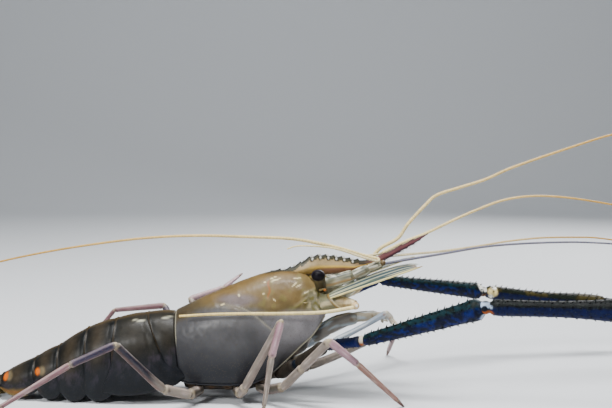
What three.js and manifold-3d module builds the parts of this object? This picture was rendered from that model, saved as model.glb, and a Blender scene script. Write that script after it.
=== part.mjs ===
// Giant freshwater prawn (Macrobrachium rosenbergii), a large male at life size, resting on the floor.
// Millimetres. +X is the way the head points, +Y is the animal's left, +Z is up and Z = 0 is the floor.
// X = 0 is the rear edge of the carapace and Y = 0 is the animal's midplane, until the last lines
// centre the finished group over its own footprint.
import * as THREE from "three";
import { mergeVertices } from "three/addons/utils/BufferGeometryUtils.js";
import Module from "manifold-3d";

const wasm = await Module();
wasm.setup();

// Driving dimensions
const GAP = 0.3; // left between neighbouring pieces
const LIMB_SIDES = 8;
const WHIP_SIDES = 6;
const WHIP_STEP = 7; // between rings of a feeler
const SHARP_BEND = 0.6; // cosine of the turn beyond which a limb has a ball at its joint
const BALL_SHARE = 1.04; // of the limb's radius
const BALL_SIDES = 8;
const BALL_RINGS = 5;
const FLOOR_SLAB = [600, 400, 20]; // trims the feet

const KEEL_DEPTH = 6; // of the sternum below the carapace's lower margin
const GROOVE_HEIGHT = 6; // of the space under the carapace that the sternum fills
const GROOVE_LIMIT = 0.36; // of the carapace's own height, which that space stays under
const GROOVE_SHARE = 0.55; // of the carapace's half width, taken by that space
const GROOVE_SLOPE = 0.08; // of the half width, by which its sides lean out
const BELLY_SHARE = 0.74; // of a tail segment's half width, between its side flaps
const STERNUM_STATIONS = 9; // of the carapace's, counted from the rear
const PLEURA_DROP = 8.5; // of the tail plates' side flaps below the belly
const ROSTRUM_BASE_WIDTH = 5.2;
const ROSTRUM_TIP_WIDTH = 0.9;
const ROSTRUM_WIDEST = 66; // where along the body it has its base width
const EYE_RADII = [3.3, 3.1, 2.8];
const EYE_CENTRE = [67.1, 12.4, 60.2]; // of the left eye
const SCALE_LENGTH = 40.5; // of the antennal scale, base to spine
const SCALE_WIDTH = 11.5;
const SCALE_THICKNESS = 0.8;
const FAN_THICKNESS = 1.2;
const PLEOPOD = { length: 9.5, width: 4.6, thickness: 1.3, pitch: 0.6 };

const SHELL = { colour: 0x7d7048, roughness: 0.35 };
const TAIL = { colour: 0x35352c, roughness: 0.35 };
const LEG = { colour: 0xb09aa0, roughness: 0.45 };
const CLAW = { colour: 0x10244f, roughness: 0.4 };
const HORN = { colour: 0x7a4a32, roughness: 0.4 };
const FEELER = { colour: 0xd8b660, roughness: 0.5 };
const FIN = { colour: 0x8d9aa6, roughness: 0.3 };
const EYE = { colour: 0x14101c, roughness: 0.15 };

const prawn = new THREE.Group();

function add(name, geometry, look) {
  geometry.computeVertexNormals();
  const { colour, roughness } = look;
  const material = new THREE.MeshStandardMaterial({ color: colour, roughness, metalness: 0 });
  const mesh = new THREE.Mesh(geometry, material);
  mesh.name = name;
  prawn.add(mesh);
}

const vec = (point) => new THREE.Vector3(...point);

// A closed body through rings of the same number of points, each running anticlockwise
// when looked at against the way from the first ring to the last.
function loft(rings) {
  const count = rings[0].length;
  const positions = rings.flat().flatMap((point) => point.toArray());
  const index = [];
  for (let ring = 0; ring + 1 < rings.length; ring += 1) {
    for (let side = 0; side < count; side += 1) {
      const a = ring * count + side;
      const b = ring * count + ((side + 1) % count);
      index.push(a, b, b + count, a, b + count, a + count);
    }
  }
  for (const [ring, flip] of [[0, true], [rings.length - 1, false]]) {
    for (const [a, b, c] of capFaces(rings[ring])) {
      const base = ring * count;
      index.push(base + a, base + (flip ? c : b), base + (flip ? b : c));
    }
  }
  const geometry = new THREE.BufferGeometry();
  geometry.setAttribute("position", new THREE.Float32BufferAttribute(positions, 3));
  geometry.setIndex(index);
  return geometry;
}

// Triangles over one flat ring, wound the way the ring runs.
function capFaces(ring) {
  const normal = new THREE.Vector3();
  ring.forEach((point, i) => normal.add(point.clone().cross(ring[(i + 1) % ring.length])));
  normal.normalize();
  const turn = new THREE.Quaternion().setFromUnitVectors(normal, new THREE.Vector3(0, 0, 1));
  const flat = ring.map((point) => point.clone().applyQuaternion(turn));
  return THREE.ShapeUtils.triangulateShape(flat.map((point) => new THREE.Vector2(point.x, point.y)), []);
}

// Round rings about a run of centres, square to the given ways, with no twist from one to the next.
function circles(centres, ways, radii, sides) {
  const upright = Math.abs(ways[0].z) > 0.9;
  const side = upright ? new THREE.Vector3(0, 1, 0) : new THREE.Vector3(0, 0, 1).cross(ways[0]);
  return centres.map((centre, i) => {
    side.addScaledVector(ways[i], -side.dot(ways[i])).normalize();
    const up = new THREE.Vector3().crossVectors(ways[i], side);
    return oval(sides).map(([across, over]) => {
      const point = centre.clone().addScaledVector(side, radii[i] * across);
      return point.addScaledVector(up, radii[i] * over);
    });
  });
}

// A straight length with a radius at each of its stops, which are shares of the way along it.
function taper(from, to, stops) {
  const reach = to.clone().sub(from);
  const way = reach.clone().normalize();
  const centres = stops.map(([share]) => from.clone().addScaledVector(reach, share));
  return loft(circles(centres, stops.map(() => way), stops.map(([, radius]) => radius), LIMB_SIDES));
}

function toSolid(geometry) {
  const bare = geometry.clone();
  bare.deleteAttribute("normal");
  bare.deleteAttribute("uv");
  const merged = mergeVertices(bare, 1e-4);
  const mesh = new wasm.Mesh({
    numProp: 3,
    vertProperties: new Float32Array(merged.attributes.position.array),
    triVerts: new Uint32Array(merged.index.array),
  });
  return new wasm.Manifold(mesh);
}

function toGeometry(solid) {
  const mesh = solid.getMesh();
  const geometry = new THREE.BufferGeometry();
  geometry.setAttribute("position", new THREE.BufferAttribute(new Float32Array(mesh.vertProperties), 3));
  geometry.setIndex(new THREE.BufferAttribute(new Uint32Array(mesh.triVerts), 1));
  return geometry;
}

// A limb runs through stops of [x, y, z, radius]. Gentle bends are mitred, and a sharp one,
// such as a knee, has a ball that joins the two lengths. The first ring is square to rootWay.
function limb(stops, rootWay) {
  const centres = stops.map((stop) => vec(stop.slice(0, 3)));
  const radii = stops.map((stop) => stop[3]);
  const ways = centres.slice(1).map((centre, i) => centre.clone().sub(centres[i]).normalize());
  const last = centres.length - 1;
  let solid = null;
  let start = 0;
  for (let stop = 1; stop <= last; stop += 1) {
    const sharp = stop < last && ways[stop].dot(ways[stop - 1]) < SHARP_BEND;
    if (!sharp && stop < last) continue;
    const run = centres.slice(start, stop + 1);
    const runWays = run.map((_, i) => {
      const at = start + i;
      if (at === 0) return rootWay ?? ways[0];
      if (at === start) return ways[at];
      return at === stop ? ways[at - 1] : ways[at - 1].clone().add(ways[at]).normalize();
    });
    const length = toSolid(loft(circles(run, runWays, radii.slice(start, stop + 1), LIMB_SIDES)));
    solid = solid ? solid.add(length) : length;
    if (sharp) {
      const ball = new THREE.SphereGeometry(radii[stop] * BALL_SHARE, BALL_SIDES, BALL_RINGS);
      solid = solid.add(toSolid(ball.translate(...stops[stop].slice(0, 3))));
    }
    start = stop;
  }
  return solid;
}

// Whatever would reach below the floor is cut off level, which leaves a small flat under each foot.
function standOnFloor(solid) {
  const slab = new THREE.BoxGeometry(...FLOOR_SLAB).translate(0, 0, -FLOOR_SLAB[2] / 2);
  return solid.subtract(toSolid(slab));
}

// The side of a joint's plane that a piece keeps, half the gap away from it.
function keepSide(solid, point, normal) {
  return solid.trimByPlane(normal.toArray(), normal.dot(point) + GAP / 2);
}

const outward = (stops) => new THREE.Vector3(0, Math.sign(stops[0][1]), 0);

function bisector(before, joint, after) {
  const into = joint.clone().sub(before).normalize();
  const out = after.clone().sub(joint).normalize();
  return into.add(out).normalize();
}

// A feeler: a tapered tube along a smooth curve through hand-placed points.
function whip(points, startRadius, endRadius) {
  const curve = new THREE.CatmullRomCurve3(points.map(vec), false, "centripetal");
  const steps = Math.ceil(curve.getLength() / WHIP_STEP);
  const shares = Array.from({ length: steps + 1 }, (_, step) => step / steps);
  const centres = shares.map((share) => curve.getPointAt(share));
  const ways = shares.map((share) => curve.getTangentAt(share));
  const radii = shares.map((share) => THREE.MathUtils.lerp(startRadius, endRadius, share));
  return loft(circles(centres, ways, radii, WHIP_SIDES));
}

// A flat plate of the given outline, in its own length, width and normal directions.
function plate(outline, thickness) {
  return new THREE.ExtrudeGeometry(new THREE.Shape(outline), { depth: thickness, bevelEnabled: false });
}

// Corners of a circle of radius 1, anticlockwise.
function oval(sides) {
  return Array.from({ length: sides }, (_, corner) => {
    const angle = (2 * Math.PI * corner) / sides;
    return [Math.cos(angle), Math.sin(angle)];
  });
}

// Turns a flat shape so that its x runs along lengthWay and its y towards widthWay, and moves it to origin.
function place(geometry, origin, lengthWay, widthWay) {
  const along = vec(lengthWay).normalize();
  const normal = new THREE.Vector3().crossVectors(along, vec(widthWay)).normalize();
  const across = new THREE.Vector3().crossVectors(normal, along);
  const matrix = new THREE.Matrix4().makeBasis(along, across, normal).setPosition(...origin);
  return geometry.applyMatrix4(matrix);
}

// Mirrored geometry has its faces turned round again.
function mirrorY(geometry) {
  geometry.scale(1, -1, 1);
  const index = geometry.index.array;
  for (let i = 0; i < index.length; i += 3) {
    [index[i + 1], index[i + 2]] = [index[i + 2], index[i + 1]];
  }
  return geometry;
}

const withIndex = (geometry) => {
  geometry.deleteAttribute("normal");
  geometry.deleteAttribute("uv");
  return mergeVertices(geometry, 1e-4);
};

// Body shell

// Stations along the body: x and z of the back's ridge, x and z of the lower margin, and half the width.
const CARAPACE = [
  [-1.0, 42.0, 2.2, 10.6, 14.8],
  [6.0, 45.3, 7.0, 9.5, 16.6],
  [16.0, 50.0, 16.0, 9.3, 18.0],
  [27.0, 54.6, 27.0, 9.3, 18.6],
  [36.0, 57.7, 36.0, 9.9, 18.0],
  [44.0, 59.8, 44.0, 13.4, 16.8],
  [52.0, 60.5, 52.0, 20.0, 15.2],
  [59.0, 59.8, 59.0, 26.6, 13.4],
  [64.0, 57.2, 64.0, 31.0, 12.0],
  [67.4, 54.8, 67.6, 35.8, 11.0],
  [70.2, 52.8, 70.4, 40.6, 10.2],
];
// The arch's outline on one side, as shares of half the width and of the height.
const ARCH = [
  [0.86, 0.0],
  [0.95, 0.12],
  [1.0, 0.3],
  [0.98, 0.5],
  [0.87, 0.69],
  [0.66, 0.84],
  [0.38, 0.95],
];

function arch([topX, topZ, lowX, lowZ, half], grooveHeight, grooveShare) {
  const rise = Math.hypot(topX - lowX, topZ - lowZ);
  const lift = Math.min(grooveHeight, rise * GROOVE_LIMIT) / rise;
  const side = [[grooveShare, lift], [grooveShare + GROOVE_SLOPE, 0.0], ...ARCH];
  const at = (share, height, sign) => new THREE.Vector3(
    THREE.MathUtils.lerp(lowX, topX, height),
    sign * share * half,
    THREE.MathUtils.lerp(lowZ, topZ, height),
  );
  const left = side.map(([share, height]) => at(share, height, 1));
  const right = side.map(([share, height]) => at(share, height, -1)).reverse();
  return [...left, at(0, 1, 1), ...right];
}

function addCarapace() {
  const rings = CARAPACE.map((station) => arch(station, GROOVE_HEIGHT, GROOVE_SHARE));
  add("carapace", loft(rings), SHELL);
}

// The sternum fills the groove and shows below the carapace as the keel that carries the limbs.
function addSternum() {
  const rings = CARAPACE.slice(0, STERNUM_STATIONS).map(([topX, topZ, lowX, lowZ, half]) => {
    const lift = Math.min(GROOVE_HEIGHT, (topZ - lowZ) * GROOVE_LIMIT) - 2 * GAP;
    const wide = half * GROOVE_SHARE - GAP;
    const lean = (topX - lowX) / (topZ - lowZ);
    const corners = [[wide, lift], [-wide, lift], [-wide, -KEEL_DEPTH * 0.6], [-wide * 0.45, -KEEL_DEPTH],
      [wide * 0.45, -KEEL_DEPTH], [wide, -KEEL_DEPTH * 0.6]];
    return corners.map(([y, rise]) => new THREE.Vector3(lowX + lean * rise, y, lowZ + rise));
  });
  add("sternum", loft(rings), SHELL);
}

// The block between the eyes and above the mouth, which carries the eyestalks and both pairs of antennae.
function addHead() {
  const stations = [
    [63.2, 58.4, 58.9, 3.4, 3.4],
    [67.2, 55.6, 58.7, 4.0, 5.2],
    [70.6, 53.6, 58.5, 4.0, 5.6],
    [71.2, 41.6, 58.4, 4.0, 5.8],
    [78.0, 44.6, 55.6, 3.0, 5.4],
    [79.6, 45.6, 53.4, 2.8, 5.0],
    [85.0, 49.4, 53.6, 1.8, 3.4],
  ];
  const rings = stations.map(([x, low, high, topHalf, lowHalf]) => [
    new THREE.Vector3(x, lowHalf, low),
    new THREE.Vector3(x, topHalf, high),
    new THREE.Vector3(x, -topHalf, high),
    new THREE.Vector3(x, -lowHalf, low),
  ]);
  add("head", loft(rings), SHELL);
}

// Segments of the tail lie between these planes, which lean so that the second one's side flap covers
// its neighbours. Each row is a station as above, with the belly's height over the lower margin.
const TAIL_PLANES = [
  [-1.0, 41.6, 2.2, 10.6, 14.6, 6.5],
  [-14.0, 41.0, 0.6, 9.2, 15.6, 6.5],
  [-29.0, 38.2, -29.5, 3.4, 15.6, PLEURA_DROP],
  [-43.0, 33.6, -41.6, 2.2, 14.4, PLEURA_DROP],
  [-56.5, 25.4, -54.0, 2.4, 12.9, PLEURA_DROP],
  [-68.1, 19.4, -65.4, 3.2, 11.0, 6.0],
  [-84.1, 11.4, -84.0, 3.6, 7.8, 2.2],
];
const PLEURON_BULGE = 1.2; // of each side flap, below the line between its ends
const BACK_BULGE = 0.5; // of each segment's ridge

function addTail() {
  for (let segment = 0; segment + 1 < TAIL_PLANES.length; segment += 1) {
    const front = TAIL_PLANES[segment];
    const rear = TAIL_PLANES[segment + 1];
    const rings = [0, 1 / 3, 2 / 3, 1].map((share) => {
      const shift = share === 0 ? -GAP / 2 : share === 1 ? GAP / 2 : 0;
      const bulge = Math.sin(Math.PI * share);
      const station = front.map((value, i) => THREE.MathUtils.lerp(value, rear[i], share));
      const [topX, topZ, lowX, lowZ, half, drop] = station;
      const lowered = segment === 0 ? lowZ : lowZ - PLEURON_BULGE * bulge;
      const row = [topX + shift, topZ + BACK_BULGE * bulge, lowX + shift, lowered, half + BACK_BULGE * bulge];
      return arch(row, drop, BELLY_SHARE);
    });
    // the rings run towards the tail, so they are taken last to first
    add(`abdomen_${segment + 1}`, loft(rings.reverse()), TAIL);
  }
}

function addTailFan() {
  const telson = [
    [-84.6, 4.0, 10.6, 5.6],
    [-96.0, 3.6, 7.8, 4.6],
    [-106.0, 3.2, 5.4, 3.2],
    [-113.5, 3.1, 3.9, 0.9],
  ];
  const rings = telson.reverse().map(([x, low, high, half]) => [
    new THREE.Vector3(x, half, low),
    new THREE.Vector3(x, half * 0.55, high),
    new THREE.Vector3(x, -half * 0.55, high),
    new THREE.Vector3(x, -half, low),
  ]);
  add("telson", loft(rings), TAIL);

  // Each blade is an oval with its root at the origin, turned out from the midline.
  const blades = {
    uropod_outer: { length: 31, width: 13, level: 0, turn: 0.56, root: [-85.2, 4.8] },
    uropod_inner: { length: 28, width: 10, level: FAN_THICKNESS + GAP, turn: 0.27, root: [-85.2, 2.2] },
  };
  for (const [name, { length, width, level, turn, root }] of Object.entries(blades)) {
    const outline = oval(16).map(([x, y]) => {
      const share = (1 - x) / 2;
      const waist = 0.45 + 0.55 * Math.sin((Math.PI / 2) * Math.min(1, share * 1.6));
      return new THREE.Vector2(share * length, -y * waist * (width / 2));
    });
    for (const [side, sign] of [["left", 1], ["right", -1]]) {
      const blade = withIndex(plate(outline, FAN_THICKNESS));
      blade.rotateZ(Math.PI - sign * turn);
      blade.translate(root[0], sign * root[1], level);
      add(`${name}_${side}`, blade, TAIL);
    }
  }
}

// Paddles folded back under the tail, one pair to each of the first five segments.
function addPleopods() {
  const roots = [[-5.5, 9.6], [-19.0, 7.6], [-33.0, 6.6], [-46.0, 6.4], [-58.0, 6.2]];
  roots.forEach(([x, z], i) => {
    const shrink = 1 - 0.06 * i;
    const half = [(PLEOPOD.length / 2) * shrink, (PLEOPOD.width / 2) * shrink];
    const outline = oval(10).map(([along, across]) => new THREE.Vector2(along * half[0], across * half[1]));
    for (const [side, sign] of [["left", 1], ["right", -1]]) {
      const paddle = withIndex(plate(outline, PLEOPOD.thickness));
      paddle.rotateY(-PLEOPOD.pitch).translate(x, sign * 5.2 * shrink, z - 1.6);
      add(`pleopod_${i + 1}_${side}`, paddle, LEG);
    }
  });
}

// Head

// Edges of the horn that stands on the head, and where its teeth point.
const HORN_TOP = [[44.5, 60.6], [51.6, 60.9], [56.0, 62.9], [59.5, 65.0], [63.0, 67.0], [68.0, 68.1],
  [73.2, 67.8], [80.0, 66.9], [85.0, 66.0], [91.0, 66.3], [99.0, 69.2], [106.0, 72.7], [113.0, 76.0],
  [119.4, 78.6]];
const HORN_UNDER = [[45.5, 60.5], [52.0, 60.9], [58.5, 60.6], [62.5, 59.3], [71.0, 58.9], [77.5, 59.6],
  [84.0, 60.1], [90.0, 62.2], [98.0, 65.3], [106.0, 69.8], [113.0, 73.8], [118.4, 77.6]];
const TOP_TEETH = [46.4, 51.2, 56.0, 60.4, 64.4, 68.2, 72.0, 75.8, 79.6, 83.6, 96.4, 104.2, 109.6];
const UNDER_TEETH = [97.0, 100.6, 104.2, 107.6, 110.8, 113.8];

function heightAt(edge, x) {
  const next = edge.findIndex(([stop]) => stop >= x);
  if (next <= 0) return edge[0][1];
  const [x0, z0] = edge[next - 1];
  const [x1, z1] = edge[next];
  return THREE.MathUtils.lerp(z0, z1, (x - x0) / (x1 - x0));
}

// Each tooth is a low triangle that leans forward, set into its edge.
function toothedEdge(edge, teeth, length, height) {
  const points = edge.filter(([x]) => !teeth.some((start) => x > start - 0.4 && x < start + length + 0.4));
  for (const start of teeth) {
    const apex = start + length * 0.8;
    points.push([start, heightAt(edge, start)]);
    points.push([apex, heightAt(edge, apex) + height]);
    points.push([start + length, heightAt(edge, start + length)]);
  }
  return points.sort((a, b) => a[0] - b[0]);
}

function addRostrum() {
  const top = toothedEdge(HORN_TOP, TOP_TEETH, 3.2, 0.9);
  const under = toothedEdge(HORN_UNDER, UNDER_TEETH, 2.4, -0.9);
  const outline = [...under, ...top.reverse()].map(([x, z]) => new THREE.Vector2(x, z));
  const blade = new THREE.ExtrudeGeometry(new THREE.Shape(outline), { depth: 1, bevelEnabled: false });
  blade.rotateX(Math.PI / 2);
  blade.translate(0, 0.5, 0);
  const position = blade.attributes.position;
  for (let i = 0; i < position.count; i += 1) {
    const x = position.getX(i);
    const ahead = THREE.MathUtils.clamp((x - ROSTRUM_WIDEST) / (119 - ROSTRUM_WIDEST), 0, 1);
    const behind = THREE.MathUtils.clamp((ROSTRUM_WIDEST - x) / 20, 0, 1);
    const width = THREE.MathUtils.lerp(ROSTRUM_BASE_WIDTH, ROSTRUM_TIP_WIDTH, Math.sqrt(ahead));
    position.setY(i, position.getY(i) * width * (1 - 0.6 * behind));
  }
  add("rostrum", withIndex(blade), HORN);
}

function addEyes() {
  for (const [side, sign] of [["left", 1], ["right", -1]]) {
    const stops = [[69.4, sign * 6.3, 55.2, 1.7], [68.6, sign * 8.5, 57.1, 2.0]];
    add(`eyestalk_${side}`, toGeometry(limb(stops, new THREE.Vector3(0, sign, 0))), SHELL);
    const [x, y, z] = EYE_CENTRE;
    const eye = new THREE.SphereGeometry(1, 14, 9).scale(...EYE_RADII).translate(x, sign * y, z);
    add(`eye_${side}`, withIndex(eye), EYE);
  }
}

// First antennae: a three-jointed stalk, an inner feeler, and an outer one with a short branch at its root.
const ANTENNULE = {
  right: {
    stalk: [[78.6, -3.2, 56.2, 2.3], [85.5, -4.4, 60.2, 2.2], [92.0, -6.0, 63.1, 2.0], [97.3, -7.4, 65.3, 1.8]],
    inner: [[98.9, -8.6, 65.5], [110, -12, 67.9], [124, -14, 70.5], [142, -17, 74.0], [158, -20, 75.9],
      [177, -25, 77.2], [189, -28, 77.4], [204, -31, 76.6], [232, -36, 73.6]],
    outer: [[95.6, -8.4, 67.4], [89, -9.6, 69.2], [77, -11.5, 73.0], [65, -13, 75.9], [53, -14.5, 77.8],
      [35, -16, 78.7], [12, -17, 79.4], [-11, -18, 78.5], [-34, -19, 75.9], [-58, -20, 72.1],
      [-81, -21, 67.2], [-104, -22, 60.6]],
    branch: [[94.6, -10.6, 66.8], [87, -13, 69.1], [79.5, -14.5, 71.8], [72.5, -16, 73.7], [64, -17, 74.6],
      [57, -17.5, 74.6], [52.7, -18, 73.3]],
  },
  left: {
    stalk: [[78.6, 3.2, 56.2, 2.3], [85.5, 4.4, 60.4, 2.2], [92.0, 6.0, 63.5, 2.0], [97.3, 7.4, 66.0, 1.8]],
    inner: [[98.8, 8.8, 66.4], [112, 10.4, 67.5], [127.5, 13, 68.6], [147.6, 15, 71.2], [161, 17, 73.1],
      [178, 20, 74.5], [196, 22, 74.6], [207, 24, 74.1], [222, 27, 71.8], [240, 30, 68.4]],
    outer: [[98.6, 7.4, 68.6], [109, 9, 73.6], [121, 11, 78.2], [134, 12, 84.3], [146, 13, 89.4],
      [158, 14, 93.6], [172, 15, 95.6], [190, 16, 94.8], [214, 18, 91.0], [236, 20, 86.0]],
    branch: [[96.4, 10.8, 67.4], [88.4, 12.5, 66.8], [80.6, 14, 68.9], [72, 15, 70.9], [64, 16, 72.4]],
  },
};

// Second antennae: a stout stalk, and a long feeler. The right one is broken short and lies on the flank.
const ANTENNA = {
  right: {
    stalk: [[71.2, -9.6, 46.6, 3.2], [76.0, -10.8, 47.2, 3.5], [80.6, -13.4, 47.8, 3.1],
      [84.2, -15.4, 47.4, 2.6]],
    feeler: [[83.6, -18.6, 46.4], [74, -18.6, 44.6], [65, -18.9, 43.8], [50, -19.6, 43.6], [35, -19.8, 43.6],
      [18, -18.2, 43.0], [2.6, -15.2, 41.6]],
    root: 0.95,
    tip: 0.6,
  },
  left: {
    stalk: [[71.2, 9.6, 46.6, 3.2], [76.0, 10.8, 47.2, 3.5], [81.6, 14.0, 47.8, 3.1],
      [86.6, 17.0, 49.2, 2.6]],
    feeler: [[88.2, 18.6, 50.8], [91.0, 20.0, 57.0], [93.6, 19.6, 63.4], [98.4, 19, 69.4], [107, 18, 74.6],
      [112, 18, 81.8], [120.4, 18, 91.0], [126, 18, 95.9], [136.4, 18, 99.4], [150, 19, 103.6],
      [164.4, 20, 109.8], [193.4, 22, 119.6], [214, 24, 125.8], [242, 27, 131.6], [266, 30, 134.4]],
    root: 1.0,
    tip: 0.45,
  },
};

function addAntennae() {
  for (const [side, { stalk, inner, outer, branch }] of Object.entries(ANTENNULE)) {
    add(`antennule_stalk_${side}`, toGeometry(limb(stalk)), FIN);
    add(`antennule_inner_${side}`, whip(inner, 0.7, 0.4), FEELER);
    const forked = toSolid(whip(outer, 0.9, 0.4)).add(toSolid(whip([outer[0], ...branch], 0.7, 0.35)));
    add(`antennule_outer_${side}`, toGeometry(forked), FEELER);
  }
  for (const [side, { stalk, feeler, root, tip }] of Object.entries(ANTENNA)) {
    add(`antenna_stalk_${side}`, toGeometry(limb(stalk)), SHELL);
    add(`antenna_feeler_${side}`, whip(feeler, root, tip), FEELER);
  }
}

// Antennal scales: long blades with a straight outer edge that ends in a spine.
function addScales() {
  const corners = [[0, 0], [SCALE_LENGTH, 0], [36.5, 0.7], [37.6, 4], [35.5, 8.2], [29, 10.9],
    [20, SCALE_WIDTH], [11, 9.6], [4, 5.2], [0, 2.2]];
  const outline = corners.map((point) => new THREE.Vector2(...point));
  const blade = () => withIndex(plate(outline, SCALE_THICKNESS));
  const origin = [77.5, -15.6, 51.4];
  add("scale_right", place(blade(), origin, [38, 0.6, 13.4], [0, 0.97, 0.24]), FIN);
  add("scale_left", mirrorY(place(blade(), origin, [38, 0.2, 14.0], [0, 0.97, 0.24])), FIN);
}

// Limbs

// Mouth legs, from under the front of the carapace.
const MAXILLIPEDS = {
  maxilliped_right: [[64.8, -4.0, 28.6, 2.4], [67.0, -5.0, 30.4, 2.6], [76.0, -11.0, 37.4, 3.0],
    [85.2, -13.6, 40.8, 2.8], [94.0, -14.2, 42.0, 1.9], [99.6, -14.6, 41.0, 1.2], [101.4, -14.8, 37.6, 0.8]],
  maxilliped_left: [[64.8, 4.0, 28.6, 2.4], [67.0, 5.0, 30.4, 2.6], [76.0, 11.0, 34.4, 2.8],
    [85.0, 13.0, 36.2, 2.5], [93.0, 13.6, 37.2, 1.8], [98.0, 13.8, 36.2, 1.2], [99.4, 14.0, 33.0, 0.8]],
};

// The first, slender pair of pincers, held folded ahead of the mouth.
const PINCER_LEGS = {
  pincer_leg_right: [[55.0, -9.4, 18.8, 2.4], [61.0, -14.6, 22.4, 2.2], [74.5, -18.4, 30.6, 1.7],
    [87.0, -20.0, 37.4, 1.3], [98.4, -21.0, 44.2, 1.5], [100.8, -21.6, 41.2, 1.4], [103.4, -22.6, 37.2, 0.5]],
  pincer_leg_left: [[55.0, 9.4, 18.8, 2.4], [61.0, 15.0, 21.4, 2.2], [73.0, 19.4, 27.4, 1.7],
    [84.5, 21.0, 32.4, 1.3], [94.5, 22.0, 36.6, 1.5], [98.4, 22.6, 34.8, 1.4], [102.6, 23.4, 31.8, 0.5]],
};

// Walking legs, from the body out over the knee to the toe.
const WALKERS = {
  walking_leg_1_right: [[39.0, -10.6, 7.2, 2.5], [44.0, -15.6, 7.2, 2.4], [51.0, -23.0, 10.2, 2.3],
    [60.0, -32.6, 21.4, 2.1], [71.5, -46.0, 36.2, 1.9], [84.2, -41.0, 24.9, 1.6], [103.4, -22.6, 3.8, 1.1],
    [106.8, -19.4, -0.4, 0.7]],
  walking_leg_2_right: [[28.6, -11.2, 6.0, 2.6], [31.0, -19.6, 6.2, 2.4], [36.0, -27.0, 14.4, 2.0],
    [50.5, -42.0, 44.0, 1.7], [46.2, -42.0, 28.0, 1.5], [42.8, -41.0, 5.8, 1.0], [41.8, -40.4, -0.4, 0.7]],
  walking_leg_3_right: [[11.6, -11.0, 6.0, 2.6], [7.6, -21.6, 6.2, 2.5], [-3.2, -30.0, 11.0, 2.2],
    [-7.8, -34.0, 16.6, 2.0], [-21.9, -44.0, 34.2, 1.8], [-41.0, -48.0, 26.2, 1.5], [-69.6, -54.0, 9.3, 1.0],
    [-82.0, -56.6, -0.4, 0.7]],
  walking_leg_1_left: [[39.0, 10.6, 7.2, 2.5], [50.0, 18.0, 7.2, 2.4], [63.0, 26.0, 8.2, 2.3],
    [78.0, 36.0, 12.0, 2.1], [93.2, 48.0, 16.2, 1.9], [110.6, 64.0, 19.0, 1.6], [108.2, 84.5, 4.0, 1.1],
    [107.6, 89.0, -0.4, 0.7]],
  walking_leg_2_left: [[28.6, 11.2, 6.0, 2.6], [27.2, 20.4, 6.2, 2.4], [20.5, 29.0, 14.0, 2.0],
    [0.2, 48.0, 39.2, 1.6], [18.0, 50.0, 44.9, 1.45], [24.6, 66.0, 48.6, 0.85], [26.4, 70.5, 49.6, 0.5]],
  walking_leg_3_left: [[11.6, 11.0, 6.0, 2.6], [8.0, 20.8, 6.2, 2.5], [2.0, 29.0, 13.6, 2.2],
    [-12.9, 45.0, 36.2, 1.7], [-40.2, 50.0, 32.9, 1.2], [-62.6, 57.4, 5.4, 1.0], [-67.0, 59.0, -0.4, 0.7]],
};

// Great claws: the upper arm, the forearm, and a pincer whose upper finger is a piece of its own.
const GREAT_CLAWS = {
  right: {
    root: [[48.0, -10.0, 12.6, 3.0], [57.0, -18.6, 19.6, 3.0], [70.0, -27.4, 30.2, 2.9],
      [85.3, -46.0, 36.2, 2.6]],
    wrist: [133.6, -76.0, 56.3],
    knuckle: [198.0, -86.2, 56.5],
    tip: [235.0, -89.8, 54.0],
    girth: { forearm: 1.0, palm: 0.9 },
  },
  left: {
    root: [[48.0, 10.0, 12.6, 3.0], [57.0, 21.0, 19.0, 3.0], [72.0, 33.0, 40.0, 2.9],
      [99.0, 44.0, 50.0, 2.7]],
    wrist: [158.6, 71.0, 39.5],
    knuckle: [230.0, 86.0, 29.2],
    tip: [265.0, 90.8, 24.8],
    girth: { forearm: 0.98, palm: 1.0 },
  },
};
// Shares of the way along each length, and the radius there, which each claw's girth then scales.
const FOREARM_STOPS = [[-0.02, 2.4], [0.12, 2.8], [0.5, 3.6], [0.8, 4.15], [0.93, 4.2], [1.02, 3.9]];
const PALM_STOPS = [[-0.02, 3.6], [0.1, 3.7], [0.4, 3.6], [0.6, 4.2], [0.75, 5.1], [0.88, 5.5], [1.0, 5.2]];
const FINGER_STOPS = [[-0.06, 2.1], [0.3, 1.9], [0.75, 1.3], [1, 0.4]];
const FINGER_SPREAD = 2.4; // of each finger's middle at its root, from the palm's
const TIP_SPREAD = 0.3; // what is left of that at the tips
const FINGER_BOW = 0.35;

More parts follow.
